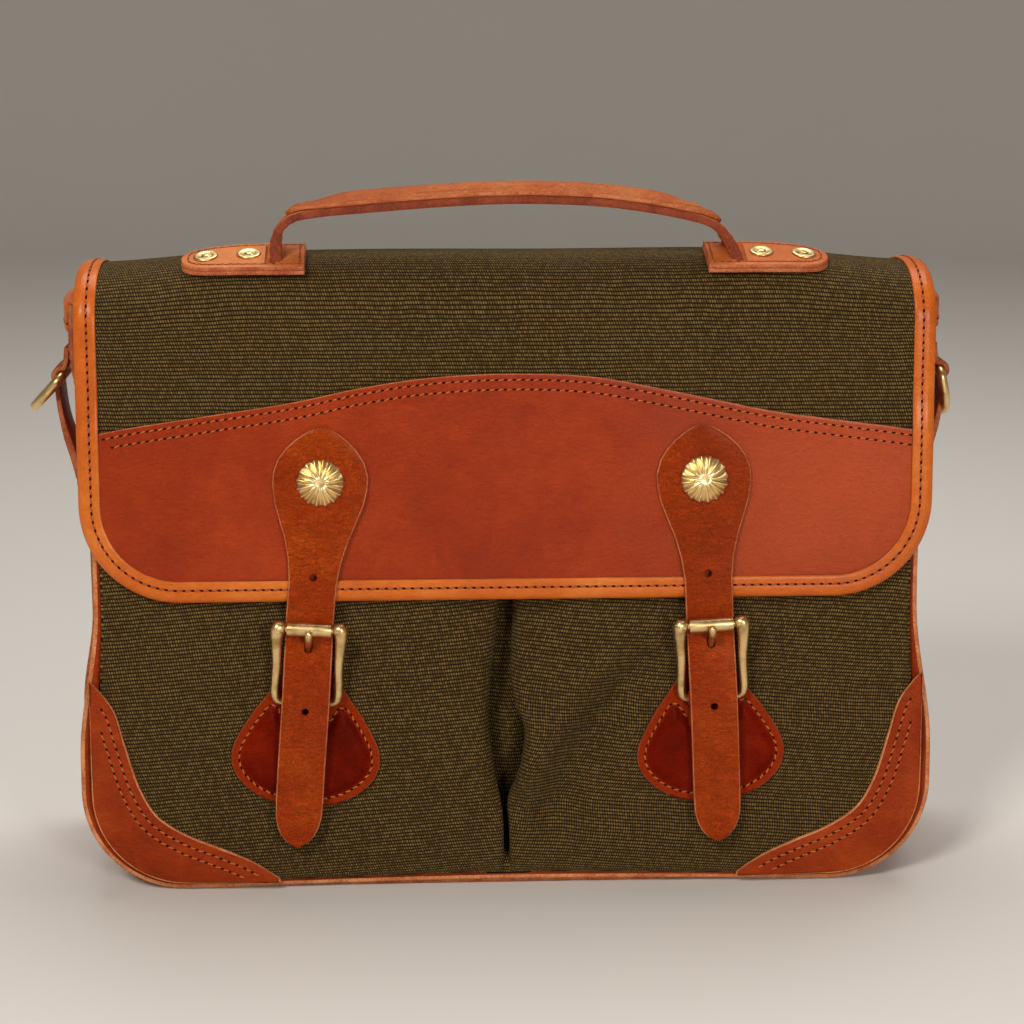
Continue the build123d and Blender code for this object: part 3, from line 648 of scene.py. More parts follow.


# The canvas's first colour is painted shade for the hollows of the weave.
CANVAS = canvas_material("canvas", (0.013, 0.0068, 0.0018), (0.088, 0.05, 0.0135), (0.19, 0.118, 0.038))
# The panel gets a painted sheen: a lighter spot on its right part in place of a highlight.
PANEL = leather_material("panel_leather", (0.21, 0.014, 0.0008), (0.31, 0.026, 0.0012), (0.4, 0.043, 0.0024),
                         rough=0.36, coat=0.3, painted_sheen=(0.142, 0.178, 0.1, 0.085))
BINDING = leather_material("binding_leather", (0.47, 0.08, 0.005), (0.64, 0.15, 0.012), (0.78, 0.26, 0.045),
                           rough=0.34, coat=0.42, wear=0.4)
STRAP_HEAD = leather_material("strap_leather", (0.21, 0.015, 0.0008), (0.33, 0.031, 0.0013),
                              (0.47, 0.07, 0.004),
                              rough=0.4, coat=0.08, creases=1.3, wear=1.0, shine=0.14)
TAB = leather_material("tab_leather", (0.055, 0.0015, 0.0002), (0.14, 0.004, 0.0003), (0.27, 0.015, 0.0008),
                       rough=0.26, coat=0.04, wear=0.5, shine=0.04, rim=(0.27, 0.03, 0.003))
PATCH = leather_material("patch_leather", (0.16, 0.01, 0.001), (0.28, 0.027, 0.002), (0.42, 0.062, 0.005),
                         rough=0.32, coat=0.14, wear=0.4, shine=0.14)
GUSSET = leather_material("gusset_leather", (0.17, 0.014, 0.002), (0.32, 0.038, 0.004), (0.46, 0.09, 0.012),
                          rough=0.4)
HANDLE = leather_material("handle_leather", (0.31, 0.05, 0.009), (0.46, 0.105, 0.023), (0.6, 0.2, 0.062),
                          rough=0.5, coat=0.05, creases=0.8, grain=0.00014)
PLATE = leather_material("plate_leather", (0.45, 0.09, 0.018), (0.6, 0.165, 0.04), (0.72, 0.26, 0.085),
                         rough=0.4, coat=0.12)
RAW = edge_material("cut_edge", (0.3, 0.05, 0.01), (0.55, 0.18, 0.07))
RAW_PALE = edge_material("cut_edge_pale", (0.36, 0.085, 0.018), (0.66, 0.27, 0.11))
RAW_DARK = edge_material("cut_edge_dark", (0.12, 0.014, 0.003), (0.28, 0.05, 0.014))
BRASS = brass_material("brass", (0.78, 0.56, 0.26), (0.42, 0.26, 0.1), 0.33)
BRASS_PALE = brass_material("brass_concho", (0.9, 0.68, 0.34), (0.66, 0.45, 0.19), 0.3)
THREAD = thread_material("thread", (0.35, 0.048, 0.006), (0.6, 0.145, 0.026))
THREAD_DARK = thread_material("thread_dark", (0.26, 0.035, 0.008), (0.45, 0.09, 0.02))
# Near-black colour of the needle holes: painted shade inside each hole.
HOLE_SHADE = edge_material("painted_hole_shade", (0.022, 0.006, 0.002), (0.045, 0.012, 0.004), 0.02)
LINING = lining_material("lining", (0.16, 0.11, 0.06), (0.3, 0.22, 0.13))
BOARD = edge_material("board", (0.03, 0.026, 0.022), (0.07, 0.062, 0.05))


# ---------------------------------------------------------------- flap
def flap_low(u, half, corner, low):
    """Height of a rounded-corner outline's lower edge at u."""
    x = np.clip(np.abs(u) - (half - corner), 0, corner)
    return low + corner - np.sqrt(np.maximum(corner**2 - x**2, 0))


def columns(half, count):
    """Columns across, closer together towards both ends."""
    t = np.linspace(-1, 1, count)
    return half * np.sin(t * math.pi / 2) * 0.45 + half * t * 0.55


FLAP_HALF, FLAP_CORNER, FLAP_EDGE = 189.0, 42.6, 1.4


def make_flap():
    # One cloth runs from under the binding, over the top and down the back of the bag.
    half = FLAP_HALF
    u = columns(1.0, 121)[:, None]
    t = np.linspace(0, 1, 190)[None, :]
    low = flap_low(u * half, half, FLAP_CORNER, FLAP_EDGE)
    high = S_DOWN + 255.0 - flap_low(u * half, half, 40.0, 0)
    s = low + (high - low) * t
    wide = half + 5.0 * smooth(s, S_HINGE + 4, S_HINGE + 16)
    n_top = 2.4 + 1.3 * (1 - smooth(s, S_HINGE - 2, S_HINGE + 14))
    quilt = 0.25 * np.sin(u * half / 37) * np.sin(s / 29) * smooth(s, S_DOWN + 15, S_DOWN + 60)
    cloth = shell("canvas_flap_and_back", over, u * wide, s, n_top + quilt, 1.4, [CANVAS], 0.4)
    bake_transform(cloth)
    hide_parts("flap_canvas", "back_panel")

    # Lining under it.
    u = columns(1.0, 61)[:, None]
    low = flap_low(u * half, half, FLAP_CORNER, FLAP_EDGE)
    s = low + (S_HINGE - 10 - low) * np.linspace(0, 1, 80)[None, :]
    inner = shell("flap_lining_cloth", over, u * half + 0 * s, s, 1.85, 0.8, [LINING], 0.25)
    put(inner, "flap", "lining_fabric", "flap_lining")

    # Shaped leather panel on the front of the flap.
    wave = spline([(-200, 206.5), (-176, 212.3), (-137.8, 218.3), (-94.6, 224.8), (-65.8, 230.8), (-37, 235),
                   (0, 236.8), (37, 235.2), (67, 229.9), (89, 225.3), (118, 219.3), (147.5, 215.2),
                   (182, 210.4), (200, 207)], 300)
    u = columns(half, 141)[:, None]
    low = flap_low(u, half, FLAP_CORNER, FLAP_EDGE)
    high = np.interp(u, wave[:, 0], wave[:, 1]) - FLAP_LOW
    t = np.linspace(0, 1, 60)[None, :]
    s = low + (high - low) * t
    rise = panel_rise(u + 0 * s, s)
    panel = shell("flap_panel", over, u + 0 * s, s, rise, 1.4, [PANEL, RAW], 0.4)
    put(panel, "flap", "panel_leather", "flap_leather")
    rows = []
    for off in (2.7, 7.0):
        line = wave - left_of(wave) * off
        line = line[np.abs(line[:, 0]) < 181.5]
        line[:, 1] -= FLAP_LOW
        rows.append(seam(f"row{off}", over, line, panel_rise, slant=16, shift=off))
    put(join("flap_panel_stitching", rows), "flap", "panel_leather")


def panel_rise(u, s):
    """Outer surface of the leather panel: a steady height with soft waves."""
    return 5.2 + 0.22 * np.sin(u / 33 + 0.5) * np.sin(s / 24) + 0.12 * np.sin(u / 14 + s / 19)


def binding_path():
    """Flap outline from the left end over the hinge, round the front and back to the right."""
    half, corner = 190.5, 44.0
    end = S_HINGE + 8
    path = [(-half, end), *arc(-half + corner, corner, corner, 180, 270, 40)]
    path += [*arc(half - corner, corner, corner, 270, 360, 40), (half, end)]
    return resample(np.array(path), 620)


def make_binding():
    path = binding_path()
    # The lip lies on the leather panel low down and on the canvas higher up.
    lip = 5.25 - 1.45 * smooth(path[:, 1], 74, 92)
    crown = np.array([(10, 0.0), (9.9, 0.7), (9.4, 0.98), (8.2, 1.12), (7.0, 1.1), (6.0, 1.02), (5.0, 1.14),
                      (3.9, 1.28), (2.8, 1.12), (1.7, 0.62)])
    nose = np.array([(0.75, 0.72), (0.2, 0.45), (0.0, 0.0), (0.25, -0.5), (0.9, -0.86), (2.0, -1.0)])
    under = np.array([(5.0, 0.3), (9.9, 0.3), (10.0, 1.0), (9.9, 1.3), (3.0, 1.35), (1.6, 1.9)])
    sections = []
    for top in lip:
        front = crown.copy()
        front[:, 1] += top
        mid = (top + 0.75 + 0.3) / 2
        r = (top + 0.75 - 0.3) / 2
        side = np.stack([nose[:, 0], mid + nose[:, 1] * r], -1)
        inner = np.array([(1.2, mid), (1.6, top - 0.3), (3.2, top)])
        sections.append(np.concatenate([front, side, under, inner]))
    index = [1] + [0] * 16 + [0, 1, 1] + [0] * 6
    binding = band("flap_binding_leather", over, path, np.array(sections), [BINDING, RAW],
                   index[:len(sections[0])])
    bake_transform(binding)
    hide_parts("flap_binding")

    row = path + left_of(path) * 6.0
    row = row[row[:, 1] < S_HINGE - 9]

    def level(u, s):
        return 5.25 - 1.45 * smooth(s, 74, 92) + 1.12

    stitches = seam("binding_stitching", over, row, level, slant=17, length=2.7, width=0.8, height=0.36,
                    hole=0.74, mats=[THREAD_DARK, HOLE_SHADE])
    put(stitches, "flap", "binding_leather")


# ---------------------------------------------------------------- front pockets
SEAMS = {
    "left": [(9, -2.3), (34, -2.9), (56, -6.7), (78, -8.9), (97, -7.9), (124, -4.6), (170, -3.0),
             (218, -3.0)],
    "right": [(9, 0.6), (25, 0.2), (40, -0.3), (56, 5.2), (73, 7.2), (84, 3.5), (95, 1.4), (115, 2.0),
              (170, 3.0), (218, 3.0)],
}


def pocket_bulge(u, v, side):
    """Cloth of the pocket front off its flat shape. It stays flat under the flap and the buckle tabs."""
    free = smooth(v, 9, 40) * (1 - smooth(v, 100, 126))
    edge = smooth(np.abs(u), 184, 160)
    tab = np.exp(-(((np.abs(u) - 91) / 38) ** 4) - (((v - 72) / 42) ** 4))
    n = 0.15 + 1.3 * free * edge * (1 - tab)
    if side == "right":
        # A soft fold runs from beside the buckle down to the lower end of the pleat.
        line = spline([(66, 121), (52, 104), (36, 82), (22, 60), (14, 40), (12, 20)], 60)
        across = u - np.interp(v, line[::-1, 1], line[::-1, 0])
        hump = np.exp(-np.maximum(-across - 8, 0) ** 2 / 900) * (1 - smooth(across, -14, 9))
        n += 7.4 * hump * smooth(v, 16, 55) * (1 - smooth(v, 92, 128)) * smooth(u, 2, 9)
        n -= 6.0 * np.exp(-((across - 11) / 11) ** 2) * smooth(v, 14,
                40) * (1 - smooth(v, 95, 118)) * (1 - tab)
        n -= 5.0 * np.exp(-(((u - 8) / 14) ** 2 + ((v - 118) / 30) ** 2))
    else:
        n += 1.0 * np.exp(-(((u + 28) / 20) ** 2 + ((v - 72) / 40) ** 2))
        n -= 4.0 * np.exp(-(((u + 7) / 14) ** 2 + ((v - 122) / 28) ** 2))
        n += 1.1 * np.exp(-(((u + 44) * 0.5 - (v - 20)) / 3.2) ** 2) * np.exp(-(((u + 44) / 13) ** 2))
    n += 0.25 * np.sin(u / 17 + v / 29) * np.sin(v / 21) * free * (1 - tab)
    return np.where(v > 126, np.minimum(n, 0.15), n)


def make_pockets():
    for side, sign in SIDES:
        edge = spline([(b, a) for a, b in SEAMS[side]], 120)
        v = np.linspace(0, 1, 130)[:, None]
        lanes = np.linspace(0, 1, 90) ** 0.92
        bends = np.linspace(0, 1, 12)[1:]
        rows_v = 4.6 + (218 - 4.6) * v
        seam_u = np.interp(rows_v, edge[:, 1], edge[:, 0])
        roll = 2.2 + 6.3 * smooth(rows_v, 15, 75)
        outer_u = sign * np.minimum(184.0, 184.0 - 38 + np.sqrt(np.maximum(
            38.0**2 - np.maximum(42.6 - rows_v, 0) ** 2, 0)))
        outer_u = outer_u - sign * 1.6 * smooth(rows_v, 90, 130)
        flat_u = outer_u + (seam_u + sign * roll - outer_u) * lanes[None, :]
        rows_v = rows_v + 2.2 * (1 - v) ** 6 * np.exp(-(flat_u / 70) ** 2)
        flat_n = pocket_bulge(flat_u, rows_v, side)
        turn = bends[None, :] * math.pi / 2
        bend_u = seam_u + sign * roll - sign * roll * np.sin(turn)
        bend_n = flat_n[:, -1:] - roll * (1 - np.cos(turn))
        deep = np.linspace(0, 1, 4)[1:][None, :]
        deep_u = seam_u + 0 * deep
        deep_n = bend_n[:, -1:] - 4.0 * deep
        uu = np.concatenate([flat_u, bend_u, deep_u], 1)
        nn = np.concatenate([flat_n, bend_n, deep_n], 1)
        vv = np.concatenate([rows_v, np.repeat(rows_v[:, -1:], uu.shape[1] - rows_v.shape[1], 1)], 1)
        cloth = sheet_from_points(f"pocket_cloth_{side}", on_front(uu, nn, vv), 1.6, [CANVAS], -0.075 * sign)
        put(cloth, "bag_body", "canvas", f"pocket_front_{side}")
    # Pleat between the two pockets.
    v = np.linspace(5.4, 212, 90)[:, None]
    t = np.linspace(-1, 1, 41)[None, :]
    x = 14.0 * t
    depth = (-21.0 + 19.4 * (1 - smooth(v, 8.5, 24))
             + 7.0 * np.exp(-((v - 74) / 26) ** 2) * np.exp(-((t - 0.15) / 0.6) ** 2))
    n = depth - 3.0 * np.abs(t) ** 6 + 0.5 * np.sin(v / 9) * (1 - t * t)
    pleat = sheet_from_points("pleat_cloth", on_front(x + 0 * n, n, v + 0 * n), 1.2, [CANVAS])
    put(pleat, "bag_body", "canvas", "pocket_pleat")


def sheet_from_points(name, points, thick, mats, tilt=0.0):
    """Closed thin sheet from a grid of points, with cloth coordinates that follow its own length."""
    rows, cols = points.shape[:2]
    du, dv = np.gradient(points, axis=1), np.gradient(points, axis=0)
    normal = unit(np.cross(du, dv))
    if np.mean(normal[..., 1]) > 0:
        normal = -normal
    along_u = np.concatenate([np.zeros((rows, 1)), np.cumsum(np.linalg.norm(
        np.diff(points, axis=1), axis=2), 1)], 1)
    along_u -= along_u[:, -1:]
    along_v = np.concatenate([np.zeros((1, cols)), np.cumsum(np.linalg.norm(
        np.diff(points, axis=0), axis=2), 0)], 0)
    uv = np.stack([along_u, np.mean(along_v, 1, keepdims=True) - tilt * points[..., 0]], -1)

    def chart(u, n, v):
        i, j = np.clip(v, 0, rows - 1), np.clip(u, 0, cols - 1)
        i0, j0 = np.minimum(i.astype(int), rows - 2), np.minimum(j.astype(int), cols - 2)
        fi, fj = (i - i0)[..., None], (j - j0)[..., None]

        def pick(a):
            return ((1 - fi) * (1 - fj) * a[i0, j0] + (1 - fi) * fj * a[i0, j0 + 1]
                    + fi * (1 - fj) * a[i0 + 1, j0] + fi * fj * a[i0 + 1, j0 + 1])
        return pick(points) + n[..., None] * pick(normal)

    vv, uu = np.meshgrid(np.arange(rows, dtype=float), np.arange(cols, dtype=float), indexing="ij")
    return shell(name, chart, uu, vv, 0.0, thick, mats, 0.35, uv=uv)


def make_patches():
    inner = spline([(188.3, 99), (184.8, 95.2), (178.2, 86), (173.4, 70), (167, 49), (159.5, 36), (146.5, 27),
                    (131, 20.4), (116, 13.4), (104.5, 5.6)], 90)
    outer = resample(np.array([(188.5, 99), (188.9, 60), *arc(146.9, 46, 42, 0, -90), (104.5, 4.0)]), 90)
    for side, sign in SIDES:
        t = np.linspace(0, 1, 26)[None, :, None]
        grid = inner[:, None] + (outer[:, None] - inner[:, None]) * t
        width = np.linalg.norm(outer - inner, axis=1)[:, None]
        d = width * t[..., 0]
        puff = 2.3 + 0.5 * smooth(d, 0, 4) - 0.9 * smooth(d, 8, 30)
        patch = shell(f"corner_patch_leather_{side}", on_front, sign * grid[..., 0], grid[..., 1], puff,
                      puff - 0.1, [PATCH, RAW_PALE], 0.7)
        put(patch, "bag_body", "panel_leather", f"corner_patch_{side}")
        rows = []
        for off in (4.2, 8.4):
            line = (inner + left_of(inner) * off)[width[:, 0] > off + 3]
            line[:, 0] *= sign
            rows.append(seam(f"p{off}{side}", on_front, line, 2.8, slant=-12 * sign, length=3.0,
                             width=0.75, height=0.34, hole=0.75, shift=off))
        put(join(f"corner_patch_stitching_{side}", rows), "bag_body", "panel_leather")


def make_welts():
    """Raw-edged double band round the pockets and the edging round the back."""
    path = pan_path(194.0, 46.0, 0.5, 218.0, 420)
    path[:, 0] -= np.sign(path[:, 0]) * 8.0 * smooth(path[:, 1], 62, 132)
    path[:, 1] += 2.2 * (1 - np.minimum(np.abs(path[:, 0]) / 130, 1) ** 2) * (path[:, 1] < 1.0)
    section = [(0.0, -2.6), (0.25, -2.1), (0.9, -1.85), (2.0, -1.9), (5.5, -1.95), (5.5, -4.5), (0.9, -4.6),
               (0.2, -4.3), (0.0, -3.8), (0.12, -3.45), (0.5, -3.25), (0.12, -3.05)]
    wobble = 0.18 * np.sin(path.sum(1) / 5.3) + 0.14 * np.sin(path[:, 0] / 2.9 + path[:, 1] / 4.1)
    section = np.array(section)[None] + np.stack([0 * wobble, wobble], -1)[:, None] * np.array([1, 0.6])
    index = [1, 1, 1, 0, 0, 0, 0, 1, 1, 1, 1, 1]
    welt = band("pocket_welt_leather", on_front, path, section, [PATCH, RAW_PALE], index)
    put(welt, "bag_body", "binding_leather", "pocket_welt")

    path = pan_path(196.5, 47.5, 0.6, 261.0, 420)
    y0, y1 = BACK_Y + 2.4, BACK_Y + 5.0
    section = [(0, y0 + 0.4), (0.2, y0), (11, y0), (11, y1 - 0.5), (10.4, y1 - 0.05), (6, y1 + 0.1),
               (1.2, y1), (0.3, y1 - 0.4)]
    welt = band("back_welt_leather", upright, path, np.array(section), [BINDING, RAW],
                [1, 0, 1, 1, 0, 0, 1, 1])
    put(welt, "bag_body", "binding_leather", "back_welt")
    row = path + left_of(path) * 6.5
    stitches = seam("back_welt_stitching", upright, row, y1 - 0.05, slant=10, height=-0.3,
                    mats=[THREAD_DARK, HOLE_SHADE], hole=0.6)
    put(stitches, "bag_body", "binding_leather")


def side_tuck(y, z):
    """How far the bag's side stands out from its straight outline at depth y and height z."""
    mid = np.clip((y - MAIN_FRONT_Y) / (BACK_Y - MAIN_FRONT_Y), 0, 1)
    swell = np.interp(z, [0, 50, 100, 150, 190, 225, 265], [0, 0, -1.5, -2.4, 0.2, 3.0, 4.6])
    pinch = -5.5 * smooth(z, 80, 125) * (1 - smooth(z, 200, 245))
    return swell * np.sin(mid * math.pi) ** 0.8 + pinch * (1 - mid)


def side_chart(sign, tuck):
    """a is depth, b is height, n is how far out the side stands before its tuck."""
    def chart(a, n, b):
        return upright(sign * (n + tuck(a, b)), a, b).astype(float)
    return chart


def make_gussets():
    """Leather sides and base, pulled in a little between their sewn edges."""
    path = pan_path(195.0, 46.0, 0.0, 265.0, 300)
    y = np.linspace(MAIN_FRONT_Y - 3.1, BACK_Y, 25)
    sections = []
    for z in path[:, 1]:
        tuck = side_tuck(y, z)
        outer = np.stack([-tuck, y], -1)
        inner = np.stack([2.4 - tuck[::-1], y[::-1]], -1)
        sections.append(np.concatenate([outer, inner]))
    index = [0] * 24 + [1] + [0] * 24 + [1]
    gusset = band("gusset_leather", upright, path, np.array(sections), [GUSSET, RAW], index)
    put(gusset, "bag_body", "panel_leather", "main_gusset")

    path = pan_path(188.4, 42.4, 0.4, 216.0, 260)
    path[:, 0] -= np.sign(path[:, 0]) * 6.0 * smooth(path[:, 1], 66, 132)
    sections = []
    for z in path[:, 1]:
        front = FRONT_Y + z * math.sin(LEAN) + 4.6
        y = np.linspace(front, MAIN_FRONT_Y - 2.3, 13)
        mid = (y - y[0]) / (y[-1] - y[0])
        waist = 1.2 * np.sin(mid * math.pi) * smooth(z, 12, 60)
        outer = np.stack([waist, y], -1)
        inner = np.stack([waist[::-1] + 2.0, y[::-1]], -1)
        sections.append(np.concatenate([outer, inner]))
    index = [0] * 12 + [1] + [0] * 12 + [1]
    pocket = band("pocket_gusset_leather", upright, path, np.array(sections), [GUSSET, RAW], index)
    put(pocket, "bag_body", "panel_leather", "pocket_gusset")

    for side, sign in SIDES:
        # Folded binding over the gusset's top edge.
        lo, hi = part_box(f"gusset_binding_{side}")
        z0, z1 = lo.z / MM, hi.z / MM
        x0, x1 = sorted((abs(lo.x) / MM, abs(hi.x) / MM))
        y = np.linspace(lo.y / MM + 0.1, hi.y / MM - 0.1, 30)
        ring = [(x1 - 0.1, z0), (x1 + 0.1, z0 + 0.8), (x1, z0 + 6), (x1, z1 - 1.6), (x1 - 0.8, z1 - 0.3),
                ((x0 + x1) / 2, z1), (x0 + 0.8, z1 - 0.3), (x0, z1 - 1.6), (x0, z0 + 1), (x0 + 0.3, z0),
                (x0 + 1.2, z0), (x0 + 1.25, z1 - 2.2), (x1 - 1.25, z1 - 2.2), (x1 - 1.2, z0)]
        ring = np.array(ring)
        bow = -side_tuck(y, 258.0)
        verts = np.stack([np.stack([sign * (ring[:, 0] - b), 0 * ring[:, 0] + a, ring[:, 1]], -1)
                          for a, b in zip(y, bow)])
        put(loft(f"gusset_binding_leather_{side}", verts, [BINDING]), "bag_body", "binding_leather",
            f"gusset_binding_{side}")
        line = np.stack([y, 0 * y + z0 + 3.4], -1)
        put(seam(f"gusset_binding_stitching_{side}", side_chart(sign, lambda a, b: side_tuck(a, 258.0)),
                 line, x1,
                 slant=8, length=2.8, width=0.65, height=0.26, hole=0.55, mats=[THREAD_DARK, HOLE_SHADE]),
            "bag_body", "binding_leather")
        # Stitch rows down both edges of the gusset.
        for tag, at in (("front", MAIN_FRONT_Y + 3.5), ("back", BACK_Y - 3.5)):
            line = np.array([(at, 250), (at, 52)], float)
            put(seam(f"gusset_stitching_{tag}_{side}", side_chart(sign, side_tuck), resample(line, 60), 195.0,
                     slant=8, length=2.8, width=0.7, height=0.3, hole=0.6), "bag_body", "panel_leather")


def make_inside():
    """Front panel behind the pockets, lining, slip pocket and base board, seen when the flap is open."""
    u = columns(1.0, 61)[:, None]
    z = np.linspace(0, 1, 60)[None, :]
    low = flap_low(u * 195, 195, 46, 0)
    zz = low + (247 - low) * z
    sag = 0.7 * np.sin(u * 2.6) * smooth(zz, 60, 140) * (1 - smooth(zz, 200, 244))

    def front(a, n, b):
        return upright(a * (0.987 - 0.026 * smooth(b, 85, 125)), MAIN_FRONT_Y - 2.3 - n, b + 3)

    cloth = shell("front_cloth", front, u * 194.6 + 0 * zz, zz, sag, 1.7, [CANVAS], 0.4)
    put(cloth, "bag_body", "canvas", "front_panel")
    # Lining bag: front, bottom and back in one loop, with a hem at the top.
    lo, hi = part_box("lining")
    y0, y1, top = lo.y / MM, hi.y / MM, hi.z / MM
    half = hi.x / MM
    low_z = lo.z / MM
    loop = []
    for t in np.linspace(0, 1, 60):
        a = 2 * math.pi * t
        loop.append((math.copysign(abs(math.cos(a)) ** 0.12, math.cos(a)),
                     math.copysign(abs(math.sin(a)) ** 0.25, math.sin(a))))
    loop = np.array(loop[:-1])
    levels = [(low_z, 0.80), (low_z + 6, 0.87), (low_z + 18, 0.93), (low_z + 34, 0.965), (low_z + 46, 0.98),
              (85, 0.975), (115, 0.955), (190, 0.955), (225, 0.98), (top - 12, 0.99), (top - 11, 0.99),
              (top, 0.99)]
    rings = []
    cy, hy = (y0 + y1) / 2, (y1 - y0) / 2
    for z_, k in levels:
        rings.append(np.stack([half * k * loop[:, 0], cy + hy * loop[:, 1], 0 * loop[:, 0] + z_], -1))
    for z_, k in reversed(levels):
        rings.append(np.stack([(half * k - 0.8) * loop[:, 0], cy + (hy - 0.8) * loop[:, 1],
                               0 * loop[:, 0] + max(z_, low_z + 0.8)], -1))
    obj = loft("lining_cloth", np.array(rings), [LINING])
    put(obj, "bag_body", "lining_fabric", "lining")
    lo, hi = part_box("slip_pocket")
    xs = np.linspace(lo.x / MM, hi.x / MM, 41)[:, None]
    zs = np.linspace(lo.z / MM, hi.z / MM, 31)[None, :]
    belly = 0.9 * np.sin((zs - zs.min()) / 155 * math.pi) * (1 - (xs / 121) ** 2)
    slip = shell("slip_pocket_cloth", lambda a, n, b: upright(a, lo.y / MM - n, b), xs + 0 * zs, zs + 0 * xs,
                 belly, 1.0, [LINING], 0.35)
    put(slip, "bag_body", "lining_fabric", "slip_pocket")
    paint("base_board", BOARD)


def paint(node, *mats):
    """Better material on a CAD node that keeps its shape."""
    obj = frame["nodes"][node]
    for k, m in enumerate(mats):
        if k < len(obj.material_slots):
            obj.material_slots[k].material = m
        else:
            obj.data.materials.append(m)


# ---------------------------------------------------------------- closures
STRAP_HALF = [(22.2, 0.05), (22.6, 2.0), (24.0, 4.6), (27.5, 7.6), (31.5, 9.4), (36, 10.4), (44, 10.7),
              (100, 10.7), (144, 10.7), (154, 11.9), (163.5, 14.2), (172, 17.2), (180, 19.9), (187, 21.1),
              (193, 21.1), (199, 19.2), (204, 15.8), (208, 11.8), (211, 7.6), (213, 3.6), (213.7, 0.05)]
STRAP_N = [(22, 7.2), (40, 7.6), (60, 8.6), (78, 9.8), (92, 10.1), (104, 9.2), (114, 8.1), (122, 7.7),
           (135, 7.85),
           (144, 7.75), (156, 7.0), (214, 6.75)]


def strap_half(v):
    return np.interp(v, *np.array(STRAP_HALF).T)


def strap_middle(v):
    return np.interp(v, *spline(STRAP_N, 300).T)


def make_straps():
    for side, sign in SIDES:
        chart = strap_chart(sign)
        v = 22.2 + (213.7 - 22.2) * (1 - np.cos(np.linspace(0, math.pi, 181))) / 2
        v = np.sort(np.concatenate([v[:40], np.linspace(v[40], v[-40], 110), v[-39:]]))[:, None]
        t = np.linspace(-1, 1, 19)[None, :]
        x = strap_half(v) * t
        crown = 0.35 * (1 - t**4) + 0.15 * np.sin(v / 11 + sign) * smooth(v, 20, 60)
        cup = -0.5 * smooth(v, 165, 190) * t**2
        top = strap_middle(v) + 1.0 + crown + cup
        strap = shell(f"closure_strap_leather_{side}", chart, x, v + 0 * x, top, 2.4, [STRAP_HEAD, RAW], 0.55)
        holes = []
        for at, r, wide in ((146.7, 1.65, 0), (85.9, 1.65, 0), (115.3, 1.8, 1.2)):
            a = np.radians(np.arange(0, 360, 15))
            ring = np.stack([r * np.cos(a), at + r * np.sin(a) + np.sign(np.sin(a)) * wide], -1)
            holes.append(loft("cutter", np.stack([chart(ring[:, 0], 2.0, ring[:, 1]),
                                                  chart(ring[:, 0], 20.0, ring[:, 1])]), [HOLE_SHADE]))
        strap = cut(strap, holes)
        put(strap, "flap", "strap_leather", f"closure_strap_{side}")
        conchos(side, chart)
        tab(side, strap_chart(sign, False))
        buckle(side, chart)


def conchos(side, chart):
    """Round screw-back stud with folded flutes."""
    base = strap_middle(CONCHO_V) + 1.35
    flutes, around = 16, 192
    a = np.linspace(0, 2 * math.pi, around, endpoint=False)
    fold = 1 - 2 * np.abs((a * flutes / (2 * math.pi) + 0.25) % 1 - 0.5) * 2
    rs = np.array([0.02, 1.3, 1.75, 2.1, 3.5, 5.5, 7.5, 9.0, 9.9, 10.35])
    rings = []
    for r in rs:
        t = r / 10.35
        amp = 0.85 * smooth(r, 1.8, 8.0)
        h = 2.3 * (1 - t**2.6) + 1.0 + amp * fold - 0.18 * smooth(-r, -1.9, -1.2)
        rr = r * (1 + 0.022 * fold * smooth(r, 7, 10))
        rings.append(chart(rr * np.cos(a), base + h, CONCHO_V + rr * np.sin(a)))
    for r, h in ((10.45, 0.45), (10.3, 0.1), (9.2, -0.1)):
        rr = r * (1 + 0.022 * fold)
        rings.append(chart(rr * np.cos(a), base + h + 0.5 * fold * (h > 0.3), CONCHO_V + rr * np.sin(a)))
    stud = loft(f"concho_stud_{side}", np.array(rings), [BRASS_PALE])
    put(stud, "flap", "brass", f"concho_{side}")
    paint(f"concho_screw_{side}", BRASS)


def tab_outline():
    half = [(0, 39), (12, 40.3), (20.5, 43.7), (27, 48.3), (31.8, 54.2), (33.7, 60.6), (32.9, 67),
            (29.6, 74.2),
            (24.2, 83.3), (18.5, 91), (12.5, 99.5), (9.4, 104.0)]
    right = spline(half, 80)
    left = right[::-1] * [-1, 1]
    return resample(np.concatenate([right, left[:-1]]), 150)


def inset(ring, d):
    return ring - outward(ring) * d


def distance(points, ring):
    """Distance of points to a closed ring, positive inside."""
    a, b = ring, np.roll(ring, -1, 0)
    p = points.reshape(-1, 1, 2)
    ab = b - a
    t = np.clip(((p - a) * ab).sum(-1) / np.maximum((ab * ab).sum(-1), 1e-9), 0, 1)
    d = np.linalg.norm(p - (a + ab * t[..., None]), axis=-1).min(1)
    x, y = p[:, 0, 0], p[:, 0, 1]
    inside = np.zeros(len(x), bool)
    for (x1, y1), (x2, y2) in zip(a, b):
        hit = ((y1 > y) != (y2 > y)) & (x < (x2 - x1) * (y - y1) / (y2 - y1 + 1e-12) + x1)
        inside ^= hit
    return np.where(inside, d, -d).reshape(points.shape[:-1])


HEART = [(0, 43.2), (11.5, 44.4), (19, 47.2), (24.8, 51.4), (28.6, 56.4), (29.8, 61), (29, 66.4), (25.8, 73),
         (20.6, 81.2), (16.8, 85.8), (14.2, 85.4), (10.8, 80.2), (6, 75.8), (0, 73.4)]


def heart(grow=0.0):
    right = spline(HEART, 90)
    ring = np.concatenate([right, (right * [-1, 1])[::-1][1:-1]])
    return inset(ring, -grow) if grow else ring


def tab_height(x, v):
    d = distance(np.stack([x, v], -1), heart())
    stitch = np.exp(-((d + 0.1) / 0.9) ** 2)
    return 2.3 + 1.9 * smooth(d, 0.3, 5.0) - 0.35 * stitch


